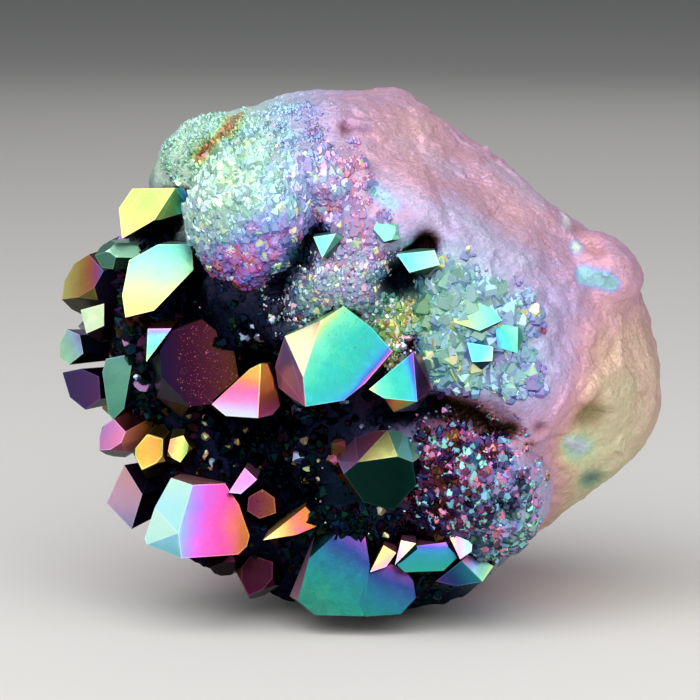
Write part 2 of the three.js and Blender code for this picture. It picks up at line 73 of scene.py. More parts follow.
def smoothStep(low, high, value):
    t = np.clip((value - low) / (high - low), 0, 1)
    return t * t * (3 - 2 * t)


def unit(vectors):
    return vectors / np.maximum(np.linalg.norm(vectors, axis=-1, keepdims=True), 1e-9)


def readAll(items, name, width=1, kind=float):
    # one number, or one row of them, for each item of a mesh
    values = np.zeros(len(items) * width, dtype=kind)
    items.foreach_get(name, values)
    return values.reshape(-1, width) if width > 1 else values


def meshArrays(mesh):
    # places in millimetres, vertex normals, triangles
    mesh.calc_loop_triangles()
    return (readAll(mesh.vertices, "co", 3) / mm, readAll(mesh.vertices, "normal", 3),
            readAll(mesh.loop_triangles, "vertices", 3, np.int32))


def cornerArrays(mesh):
    # for each face corner: its face's flat normal, its place in millimetres, its vertex
    owner = readAll(mesh.loops, "vertex_index", kind=np.int32)
    sides = readAll(mesh.polygons, "loop_total", kind=np.int32)
    normals = readAll(mesh.polygons, "normal", 3).repeat(sides, axis=0)
    return normals, readAll(mesh.vertices, "co", 3)[owner] / mm, owner


def surfaceOf(places, triangles):
    return bvhtree.BVHTree.FromPolygons(places.tolist(), triangles.tolist())


def searchTree(places):
    tree = kdtree.KDTree(len(places))
    for i, place in enumerate(places):
        tree.insert(place, i)
    tree.balance()
    return tree


def addObject(name, data):
    added = bpy.data.objects.new(name, data)
    bpy.context.scene.collection.objects.link(added)
    return added


# how open each place is to the sky; the painted shade in hollows is drawn from it
recess = {
    "ways": 22,  # directions tried from each point
    "far": 10.0,  # how far a wall may stand and still shade
    "start": 0.75,  # how far out the search starts, so that the crust itself does not count
    "grazing": 0.15,  # directions that lean more than this cosine away from the normal are left out
}


def wholeCluster():
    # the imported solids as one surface
    allPlaces, allTriangles, start = [], [], 0
    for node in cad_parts.values():
        places, _, triangles = meshArrays(node.data)
        allPlaces.append(places)
        allTriangles.append(triangles + start)
        start += len(places)
    return surfaceOf(np.concatenate(allPlaces), np.concatenate(allTriangles))


solids = wholeCluster()


def openness(places, normals):
    # share of the sky that each point sees, from 0 in a pocket to 1 on an open face
    count = recess["ways"]
    steps = np.arange(count) + 0.5
    tilt = np.arccos(1 - 2 * steps / count)
    turn = math.pi * (1 + 5 ** 0.5) * steps
    ways = np.stack([np.cos(turn) * np.sin(tilt), np.sin(turn) * np.sin(tilt), np.cos(tilt)], axis=1)
    facing = normals @ ways.T
    result = np.ones(len(places))
    for i, place in enumerate(places):
        start = Vector(place + normals[i] * recess["start"])
        seen, total = 0.0, 0.0
        for k in np.flatnonzero(facing[i] > recess["grazing"]):
            total += facing[i, k]
            if solids.ray_cast(start, Vector(ways[k]), recess["far"])[0] is None:
                seen += facing[i, k]
        result[i] = seen / max(total, 1e-6)
    return result


# film colours over the whole cluster
# A film is (phase, lustre, bloom). phase: place in the cycle of interference colours. lustre: 0 black,
# 1 bright; partly the film's own tone, partly painted shade in hollows and on faces that look down. bloom:
# how far the colour pales to white; partly pastel film, partly painted highlights and glints.
filmRules = {
    "lustreCurve": 1.7,  # makes equal steps of lustre look equal
    "dark": 0.3,  # patches less lustrous than this are painted shade in the hollow at the front
    "darkFades": (0.42, 0.62),  # and fade out between these shares of the depth
    "marksEnd": 0.5,  # grooves and dents colour the surface up to this share of the depth
    "wander": (0.20, 2.1, 1.3),  # how far a groove's edge strays, in its widths, and how fast across and up
}

# Each patch: where it is, how far it reaches, how strongly it counts, its film.
patches = [
    ((0.5, 0.5, 0.5), (90, 90, 90), 0.02, (0.22, 0.82, 0.25)),
    ((0.53, 0.2, 0.95), (9, 13, 6), 1, (0.2, 0.84, 0.27)),
    ((0.68, 0.2, 0.84), (8, 12, 6), 1, (0.22, 0.83, 0.25)),
    ((0.8, 0.25, 0.74), (7, 12, 6), 1, (0.24, 0.83, 0.25)),
    ((0.93, 0.35, 0.66), (5, 9, 5), 1, (0.22, 0.86, 0.25)),
    ((0.97, 0.4, 0.46), (5, 9, 7), 1, (0.09, 0.86, 0.4)),
    ((0.91, 0.22, 0.36), (5, 9, 8), 1.8, (-0.1, 0.9, 0.3)),
    ((0.8, 0.12, 0.52), (3.4, 7, 7), 2.6, (0.31, 0.92, 0.22)),
    ((0.78, 0.12, 0.28), (2.6, 7, 5), 1.8, (0.23, 0.9, 0.25)),
    ((0.3, 0.35, 0.96), (6, 9, 4), 1, (0.62, 0.97, 0.42)),
    ((0.21, 0.3, 0.9), (3.4, 7, 4), 1.2, (0.68, 0.97, 0.4)),
    ((0.2, 0.25, 0.88), (1.6, 4, 1.2), 1.6, (0.96, 0.6, 0.1)),
    ((0.27, 0.18, 0.86), (4.4, 7, 3.6), 1.6, (0.77, 1, 0.44)),
    ((0.25, 0.14, 0.77), (3.6, 7, 3.4), 5, (0.59, 1, 0.6)),
    ((0.34, 0.12, 0.84), (2.6, 7, 3.4), 1.5, (0.66, 1, 0.45)),
    ((0.4, 0.1, 0.86), (2.6, 7, 3), 1.6, (0.46, 1, 0.42)),
    ((0.45, 0.1, 0.82), (3, 7, 3.2), 1.6, (0.26, 1, 0.48)),
    ((0.37, 0.08, 0.76), (2.8, 7, 2.4), 2.6, (0.2, 1, 0.15)),
    ((0.3, 0.08, 0.69), (3.2, 7, 2.4), 7, (0.17, 0.94, 0)),
    ((0.41, 0.08, 0.75), (1.4, 5, 1.8), 1.8, (0.05, 0.75, 0.05)),
    ((0.46, 0.06, 0.76), (4.4, 6, 1.8), 1.8, (0.21, 1, 0.36)),
    ((0.42, 0.06, 0.67), (3.4, 7, 3.4), 3.4, (0.57, 1, 0.64)),
    ((0.49, 0.06, 0.7), (3, 7, 2.4), 2.8, (0.24, 1, 0.5)),
    ((0.57, 0.06, 0.61), (1.9, 6, 4.2), 3, (1.04, 0.76, 0.1)),
    ((0.65, 0.06, 0.62), (2.6, 7, 4.2), 3.4, (0.6, 1, 0.4)),
    ((0.71, 0.06, 0.58), (4.2, 7, 4.6), 3.2, (0.56, 1, 0.48)),
    ((0.74, 0.06, 0.5), (3, 7, 2.4), 2.6, (0.5, 1, 0.4)),
    ((0.64, 0.08, 0.38), (4.4, 7, 2.2), 2, (0.2, 0.75, 0.05)),
    ((0.58, 0.08, 0.37), (1.8, 6, 2), 2, (0.6, 0.95, 0.15)),
    ((0.68, 0.08, 0.28), (4.4, 7, 3.6), 2, (0.17, 0.6, 0.02)),
    ((0.74, 0.08, 0.21), (3.4, 7, 4), 4.5, (0.53, 1, 0.46)),
    # painted shade: the next eight patches are near black where the hollow, its pockets and the crevices lie
    # in shadow
    ((0.36, 0.25, 0.42), (7, 10, 9), 3, (0.42, 0.03, 0)),
    ((0.25, 0.3, 0.55), (7, 9, 5), 2.5, (0.38, 0.04, 0)),
    ((0.2, 0.3, 0.22), (8, 9, 6), 2, (0.3, 0.06, 0)),
    ((0.55, 0.1, 0.17), (8, 7, 5), 2, (0.5, 0.06, 0)),
    ((0.05, 0.45, 0.2), (6, 12, 6), 1.4, (0.3, 0.06, 0)),
    ((0.565, 0.08, 0.68), (2, 3, 1.8), 5, (0.42, 0.04, 0)),
    ((0.62, 0.08, 0.435), (5, 4, 1.2), 5, (-0.05, 0.1, 0)),
    ((0.56, 0.08, 0.42), (3, 4, 1.2), 5, (0.45, 0.05, 0)),
    ((0.05, 0.45, 0.5), (6, 12, 12), 1, (0.45, 0.2, 0.1)),
    ((0.18, 0.2, 0.6), (3, 6, 3), 1.4, (0.24, 0.5, 0.2)),
    ((0.6, 0.3, 0.93), (3, 6, 2.5), 0.9, (0.06, 0.95, 0.5)),
    ((0.75, 0.3, 0.8), (3, 6, 3), 0.8, (0.07, 0.95, 0.5)),
    # painted shade: the next two patches darken the back of the hollow and the hollow under the shelf
    ((0.33, 0.5, 0.52), (5, 9, 3), 3, (0.4, 0.03, 0)),
    ((0.31, 0.3, 0.635), (5.5, 4.5, 2.6), 12, (0.4, 0.03, 0)),
    ((0.61, 0.1, 0.3), (2.8, 8, 5), 3.2, (0.15, 0.28, 0)),
    ((0.64, 0.1, 0.53), (3, 8, 3), 3, (0.56, 0.98, 0.32)),
]

# Narrow grooves and streaks seen from the front: both ends (across, height), width, depth, film, how fully
# that film replaces what is round it, how hard the edge is.
grooves = [
    ((0.3, 0.965), (0.235, 0.89), 0.6, 0.4, (1.02, 0.62, 0.15), 0.9, 2),
    # painted shade: the next three grooves are painted near black along crevices in shadow
    ((0.53, 0.425), (0.63, 0.442), 0.8, 1.1, (0.45, 0.03, 0), 1, 4),
    ((0.63, 0.442), (0.735, 0.39), 0.8, 1.1, (0.05, 0.1, 0), 1, 4),
    ((0.43, 0.765), (0.36, 0.66), 1.1, 1, (0.4, 0.03, 0), 1, 2),
    ((0.48, 0.955), (0.51, 0.95), 0.4, 0.2, (0.24, 0.7, 0.1), 0.7, 2),
    ((0.63, 0.93), (0.66, 0.91), 0.9, 0.5, (0.2, 0.9, 0.3), 0.5, 2),
    ((0.86, 0.735), (0.885, 0.715), 0.6, 0.6, (0.14, 0.85, 0.2), 0.8, 2),
    ((0.54, 0.86), (0.63, 0.79), 0.8, 0, (0.36, 0.95, 0.5), 0.45, 2),
    ((0.866, 0.675), (0.902, 0.655), 0.8, 0.2, (0.56, 1, 0), 1, 8),
    # painted highlight: a blue-white glint streak on the olive rock
    ((0.838, 0.356), (0.868, 0.338), 0.4, -0.1, (-0.6, 1, 0.9), 1, 2),
    ((0.525, 0.845), (0.555, 0.82), 0.6, 0.1, (0.52, 1, 0.2), 0.9, 4),
    ((0.64, 0.81), (0.76, 0.71), 0.8, 0, (0.4, 0.95, 0.45), 0.5, 2),
    ((0.72, 0.87), (0.8, 0.8), 0.6, 0, (0.32, 0.95, 0.5), 0.35, 2),
    ((0.56, 0.93), (0.66, 0.86), 0.6, 0, (0.32, 0.95, 0.5), 0.3, 2),
]

# Dents and painted glints seen from the front: place, half width, depth, film, how fully it replaces what is
# round it, how hard the edge is.
dents = [
    # painted shade: the next three dents are painted near black inside the holes
    ((0.605, 0.748), 1, 1.6, (0.08, 0.04, 0), 1, 4),
    ((0.565, 0.68), 1.5, 2, (0.42, 0.03, 0), 1, 4),
    ((0.58, 0.555), 0.8, 1, (0.05, 0.06, 0), 1, 2),
    ((0.79, 0.58), 0.35, 0.3, (0.1, 0.5, 0.05), 0.8, 2),
    ((0.785, 0.4), 0.45, 0.4, (0.2, 0.5, 0.05), 0.8, 2),
    ((0.87, 0.41), 1.3, 0.9, (-0.07, 0.55, 0), 0.8, 3),
    ((0.88, 0.262), 1, 0.5, (-0.5, 0.45, 0.15), 0.6, 2),
    # painted highlights: a blue-white glint with its halo, then two white glints on the knob
    ((0.852, 0.34), 1.3, 0.2, (-0.56, 1, 0.3), 0.75, 2),
    ((0.842, 0.765), 0.5, -0.15, (0.3, 1, 0.85), 1, 2),
    ((0.852, 0.722), 0.35, -0.1, (0.94, 1, 0.7), 1, 2),
    ((0.475, 0.952), 0.45, 0.25, (0.2, 0.55, 0.05), 0.8, 2),
]


def frontMarks(points):
    # for each groove and dent its depth, film, share and edge, and the distance of every point from it in
    # its own widths, seen from the front
    flat = points[:, [0, 2]]
    stray, fastAcross, fastUp = filmRules["wander"]
    wander = stray * np.sin(fastAcross * flat[:, 0] + fastUp * flat[:, 1])
    for start, end, width, *mark in grooves:
        a, b = frontSpot(*start), frontSpot(*end)
        along = np.clip((flat - a) @ (b - a) / ((b - a) @ (b - a)), 0, 1)
        away = np.linalg.norm(flat - a - along[:, None] * (b - a), axis=1)
        yield (*mark, (away + wander * width) / width)
    for at, width, *mark in dents:
        yield (*mark, np.linalg.norm(flat - frontSpot(*at), axis=1) / width)


def filmAt(points):
    # the film at each point: neighbouring patches run into each other
    total = np.zeros(len(points))
    film = np.zeros((len(points), 3))
    back = (points[:, 1] * mm - cadLow[1]) / (cadHigh[1] - cadLow[1])
    for at, reach, weight, patchFilm in patches:
        away = (points - spot(*at)) / np.array(reach)
        share = weight * np.exp(-np.sum(away * away, axis=1))
        if patchFilm[1] < filmRules["dark"]:
            share *= 1 - smoothStep(*filmRules["darkFades"], back)
        total += share
        film += share[:, None] * np.array(patchFilm)
    film /= total[:, None]
    front = points[:, 1] < spot(0, filmRules["marksEnd"], 0)[1]
    for _, markFilm, share, edge, distance in frontMarks(points):
        share = share * np.where(front, np.exp(-np.abs(distance) ** edge), 0)[:, None]
        film = film * (1 - share) + share * np.array(markFilm)
    return film


def setFilm(mesh, film):
    # one film for each face corner
    values = np.array(film, dtype=np.float32)
    values[:, 1] = np.clip(values[:, 1], 0, 1) ** filmRules["lustreCurve"]
    mesh.attributes.new("film", "FLOAT_VECTOR", "CORNER").data.foreach_set("vector", values.ravel())


def colour(code):
    # an sRGB hex value as the linear colour that shaders take
    parts = [int(code[i:i + 2], 16) / 255 for i in (0, 2, 4)]
    return [c / 12.92 if c <= 0.04045 else ((c + 0.055) / 1.055) ** 2.4 for c in parts] + [1.0]


def addNode(tree, kind, inputs=None, **settings):
    node = tree.nodes.new(kind)
    for name, value in settings.items():
        setattr(node, name, value)
    for socket, value in (inputs or {}).items():
        if isinstance(value, bpy.types.NodeSocket):
            tree.links.new(value, node.inputs[socket])
        else:
            node.inputs[socket].default_value = value
    return node


filmColours = {
    # interference colours in the order that a thickening film shows them
    "cycle": [
        (0.00, "EFAE2E"), (0.08, "F07C3C"), (0.18, "EE44A4"), (0.28, "A660E6"), (0.39, "4F78EE"),
        (0.50, "36BEEA"), (0.60, "1CC2AE"), (0.71, "66E2AC"), (0.82, "B0E866"), (0.92, "F2E868"),
        (1.00, "EFAE2E")],
    # bloom pales the colour toward this white, for pastel film and for painted highlights
    "bloom": "F6F4EC",
    "shadeAndDarkFilm": ("03050A", 0.985),  # the black of painted shade and of the darkest film, and how fully it hides the hue
    "matt": 0.7,  # below this lustre the finish turns to bare metal, so that painted black shade has no white gloss
    "streaks": {"Rotation": (0.0, 0.55, 0.15), "Scale": (0.16, 1.0, 1.0)},
    "roughnessVary": 0.06,
    "bumpHeight": 0.3,  # in the size of the grain
}


def filmMaterial(name, look):
    material = bpy.data.materials.new(name)
    material.use_nodes = True
    tree = material.node_tree
    tree.nodes.clear()
    place = addNode(tree, "ShaderNodeTexCoord").outputs["Object"]
    film = addNode(tree, "ShaderNodeAttribute", attribute_name="film").outputs["Vector"]
    parts = addNode(tree, "ShaderNodeSeparateXYZ", {"Vector": film}).outputs
    # the film's thickness wanders slowly, runs in streaks and has a fine grain on top
    streakPlace = addNode(tree, "ShaderNodeMapping", {"Vector": place, **filmColours["streaks"]}).outputs[0]
    phase = parts["X"]
    waves = {}
    for kind, at, detail in (("wander", place, 4.0), ("streak", streakPlace, 3.0), ("grain", place, 2.0)):
        waves[kind] = addNode(tree, "ShaderNodeTexNoise", {
            "Vector": at, "Scale": 1 / (look[kind] * mm), "Detail": detail}).outputs["Fac"]
        centred = addNode(tree, "ShaderNodeMath", {0: waves[kind], 1: 0.5}, operation="SUBTRACT").outputs[0]
        phase = addNode(tree, "ShaderNodeMath", {0: centred, 1: look[kind + "By"], 2: phase},
                        operation="MULTIPLY_ADD").outputs[0]
    phase = addNode(tree, "ShaderNodeMath", {0: phase}, operation="FRACT").outputs[0]
    ramp = addNode(tree, "ShaderNodeValToRGB", {"Fac": phase})
    cycle = filmColours["cycle"]
    ramp.color_ramp.elements[0].color = colour(cycle[0][1])
    ramp.color_ramp.elements[1].color = colour(cycle[-1][1])
    for stop, code in cycle[1:-1]:
        ramp.color_ramp.elements.new(stop).color = colour(code)
    hue = ramp.outputs["Color"]
    pale = addNode(tree, "ShaderNodeMix", {"Factor": look["pastel"], 6: hue, 7: colour(look["body"])},
                   data_type="RGBA").outputs[2]
    white = addNode(tree, "ShaderNodeMix", {"Factor": parts["Z"], 6: pale, 7: colour(filmColours["bloom"])},
                    data_type="RGBA").outputs[2]
    # where the lustre is low, as painted shade or dark film, it goes nearly black and keeps a trace of its
    # hue
    shadeAndDarkFilm, hides = filmColours["shadeAndDarkFilm"]
    deep = addNode(tree, "ShaderNodeMix", {"Factor": hides, 6: hue, 7: colour(shadeAndDarkFilm)},
                   data_type="RGBA").outputs[2]
    tint = addNode(tree, "ShaderNodeMix", {"Factor": parts["Y"], 6: deep, 7: white},
                   data_type="RGBA").outputs[2]
    # tiny facets turned at random, one for each grain of the crust
    grains = addNode(tree, "ShaderNodeTexVoronoi", {"Vector": place, "Scale": 1 / (look["facet"] * mm)})
    turn = addNode(tree, "ShaderNodeVectorMath", {0: grains.outputs["Color"], 1: (0.5, 0.5, 0.5)},
                   operation="SUBTRACT").outputs[0]
    turn = addNode(tree, "ShaderNodeVectorMath", {0: turn, "Scale": look["facetTurn"]},
                   operation="SCALE").outputs[0]
    normal = addNode(tree, "ShaderNodeBump", {
        "Height": waves["grain"], "Strength": look["bump"],
        "Distance": look["grain"] * filmColours["bumpHeight"] * mm}).outputs[0]
    normal = addNode(tree, "ShaderNodeVectorMath", {0: normal, 1: turn}, operation="ADD").outputs[0]
    normal = addNode(tree, "ShaderNodeVectorMath", {0: normal}, operation="NORMALIZE").outputs[0]
    vary = filmColours["roughnessVary"]
    rough = addNode(tree, "ShaderNodeMapRange", {"Value": waves["wander"], "To Min": look["roughness"] - vary,
                                                 "To Max": look["roughness"] + vary}).outputs[0]
    metal = addNode(tree, "ShaderNodeMapRange", {"Value": parts["Y"], "From Max": filmColours["matt"],
                                                 "To Min": 1.0, "To Max": look["metallic"]}).outputs[0]
    shader = addNode(tree, "ShaderNodeBsdfPrincipled", {
        "Base Color": tint, "Metallic": metal, "Roughness": rough, "Normal": normal,
        "Specular Tint": colour(look["sheen"])})
    addNode(tree, "ShaderNodeOutputMaterial", {"Surface": shader.outputs[0]})
    return material


# For each finish: wander, streak and grain are the sizes of the three waves in the film's thickness, and
# wanderBy and the like how far each moves the phase. pastel: how far the hue pales to the body colour.
# facet, facetTurn: size and tilt of the tiny facets. Grain and facets are drawn coarser than the real ones,
# so that they show.

# Quartz points under vapour-deposited titanium: flat growth faces keep a clean metal gloss.
filmedCrystal = filmMaterial("titaniumFilmOnCrystal", {
    "wander": 2.4, "wanderBy": 0.10, "streak": 1.2, "streakBy": 0.05, "grain": 0.20, "grainBy": 0.06,
    "pastel": 0.03, "body": "E8E2EA", "facet": 0.5, "facetTurn": 0.03, "bump": 0.10, "roughness": 0.30,
    "metallic": 0.80, "sheen": "FFFFFF"})

# The same film on micro-points: tiny faces, so more spread of colour.
filmedDruse = filmMaterial("titaniumFilmOnDruse", {
    "wander": 2.0, "wanderBy": 0.20, "streak": 1.0, "streakBy": 0.05, "grain": 0.20, "grainBy": 0.08,
    "pastel": 0.04, "body": "ECE8EE", "facet": 0.3, "facetTurn": 0.04, "bump": 0.05, "roughness": 0.27,
    "metallic": 0.54, "sheen": "FFFFFF"})

# Broken massive quartz under the same film: the fracture scatters the gloss to a pearly satin.
filmedRock = filmMaterial("titaniumFilmOnBrokenQuartz", {
    "wander": 5.0, "wanderBy": 0.12, "streak": 2.2, "streakBy": 0.10, "grain": 0.30, "grainBy": 0.18,
    "pastel": 0.42, "body": "DCCED2", "facet": 0.20, "facetTurn": 0.30, "bump": 0.80, "roughness": 0.52,
    "metallic": 0.35, "sheen": "8C8C96"})


def finishPiece(name, mesh, material, nodes=()):
    mesh.materials.clear()
    mesh.materials.append(material)
    piece = addObject(name, mesh)
    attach(piece, "root")
    for node in nodes:
        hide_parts(node)
    return piece


# the rock
rock = {
    "weld": 0.002,
    "voxel": 0.30,  # remeshing step
    "smoothing": (0.5, 16),  # strength and number of the passes that take the coarse facets out
    "grow": 0.30,  # closes the gap under each crystal
    "chips": [(6.5, 0.34, 0.9), (2.6, 0.13, 0.35), (1.2, 0.05, 0.25)],  # size, tilt depth, soft border
    "chipCover": 1.3,  # chips for each chip-sized square of surface
    "chipSteps": 0.35,  # how far one chip stands above another, in tilt depths
    "waves": [(3.0, 0.10), (0.8, 0.045)],  # size and height of slow and fine unevenness
    "pits": (150, 0.42, 0.20),  # how many, half width, depth
    "pitVary": 0.4,
    "pitReach": 2.5,  # how far from its middle a pit is worked out, in half widths
    "marksFace": (0.1, -0.4),  # grooves and dents are cut where the normal looks forward, from none to full
    "foot": (0.3, 1.5),  # below this height the cut stays flat, above it all unevenness shows
    "open": (0.25, 0.62),  # painted shade: openness at which the film is painted black, and fully bright
}


def chipHeights(places, size, depth, soft):
    # broken facets: each point takes the tilt of its nearest chip, blended at the border
    count = int(len(places) * (rock["voxel"] ** 2) / (size ** 2) * rock["chipCover"])
    seeds = places[random.choice(len(places), count, replace=False)]
    tilts = random.normal(0, 1, (count, 3))
    steps = random.normal(0, rock["chipSteps"], count)
    tree = searchTree(seeds)
    heights = np.zeros(len(places))
    for i, place in enumerate(places):
        (_, first, near), (_, second, far) = tree.find_n(place, 2)
        own, other = (depth * (tilts[k] @ (place - seeds[k]) / size + steps[k]) for k in (first, second))
        share = 0.5 + 0.5 * min(1.0, (far - near) / soft)
        heights[i] = share * own + (1 - share) * other
    return heights


def pitDepths(places):
    # small round pits scattered over the whole surface
    count, size, depth = rock["pits"]
    seeds = places[random.choice(len(places), count, replace=False)]
    sizes = size * np.exp(random.normal(0, rock["pitVary"], count))
    tree = searchTree(places)
    depths = np.zeros(len(places))
    for seed, width in zip(seeds, sizes):
        for _, i, distance in tree.find_range(seed, rock["pitReach"] * width):
            depths[i] = max(depths[i], depth * math.exp(-(distance / width) ** 2) * width / size)
    return depths


def remeshedRock():
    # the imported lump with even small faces, its solid's flat triangles smoothed away
    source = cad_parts["matrix"].data.copy()
    shell = bmesh.new()
    shell.from_mesh(source)
    bmesh.ops.remove_doubles(shell, verts=shell.verts, dist=rock["weld"] * mm)
    shell.to_mesh(source)
    shell.free()
    source.transform(Matrix.Scale(1 / mm, 4))
    draft = addObject("draft", source)
    remesh = draft.modifiers.new("remesh", "REMESH")
    remesh.mode = "VOXEL"
    remesh.voxel_size = rock["voxel"]
    smooth = draft.modifiers.new("smooth", "SMOOTH")
    smooth.factor, smooth.iterations = rock["smoothing"]
    mesh = bpy.data.meshes.new_from_object(draft.evaluated_get(bpy.context.evaluated_depsgraph_get()))
    bpy.data.objects.remove(draft)
    mesh.transform(Matrix.Scale(mm, 4))
    return mesh


def makeRock():
    mesh = remeshedRock()
    places, normals, _ = meshArrays(mesh)
    height = np.full(len(places), rock["grow"])
    for chip in rock["chips"]:
        height += chipHeights(places, *chip)
    for size, rise in rock["waves"]:
        height += rise * np.array([noise.fractal(Vector(p / size), 1.0, 2.0, 3) for p in places])
    height -= pitDepths(places)
    front = smoothStep(*rock["marksFace"], normals[:, 1]) * (places[:, 1] < 0)
    for depth, _, _, _, distance in frontMarks(places):
        height -= depth * np.exp(-distance * distance) * front
    height *= smoothStep(*rock["foot"], places[:, 2])
    shaped = places + normals * height[:, None]
    shaped[:, 2] = np.maximum(shaped[:, 2], cadLow[2] / mm)
    mesh.vertices.foreach_set("co", (shaped * mm).ravel())
    mesh.update()
    mesh.name = "brokenQuartz"
    film = filmAt(shaped)
    # painted shade: the film darkens where the rock sees little of the sky, in hollows and under crystals
    film[:, 1] *= smoothStep(*rock["open"], openness(places, normals))
    setFilm(mesh, film[cornerArrays(mesh)[2]])
    print("rock:", len(mesh.polygons), "faces")
    return finishPiece("matrix_rock", mesh, filmedRock, ["matrix"])


rockPiece = makeRock()

# the larger crystals
right, down = (1, 0), (0, -1)  # ways that a facet's bands run
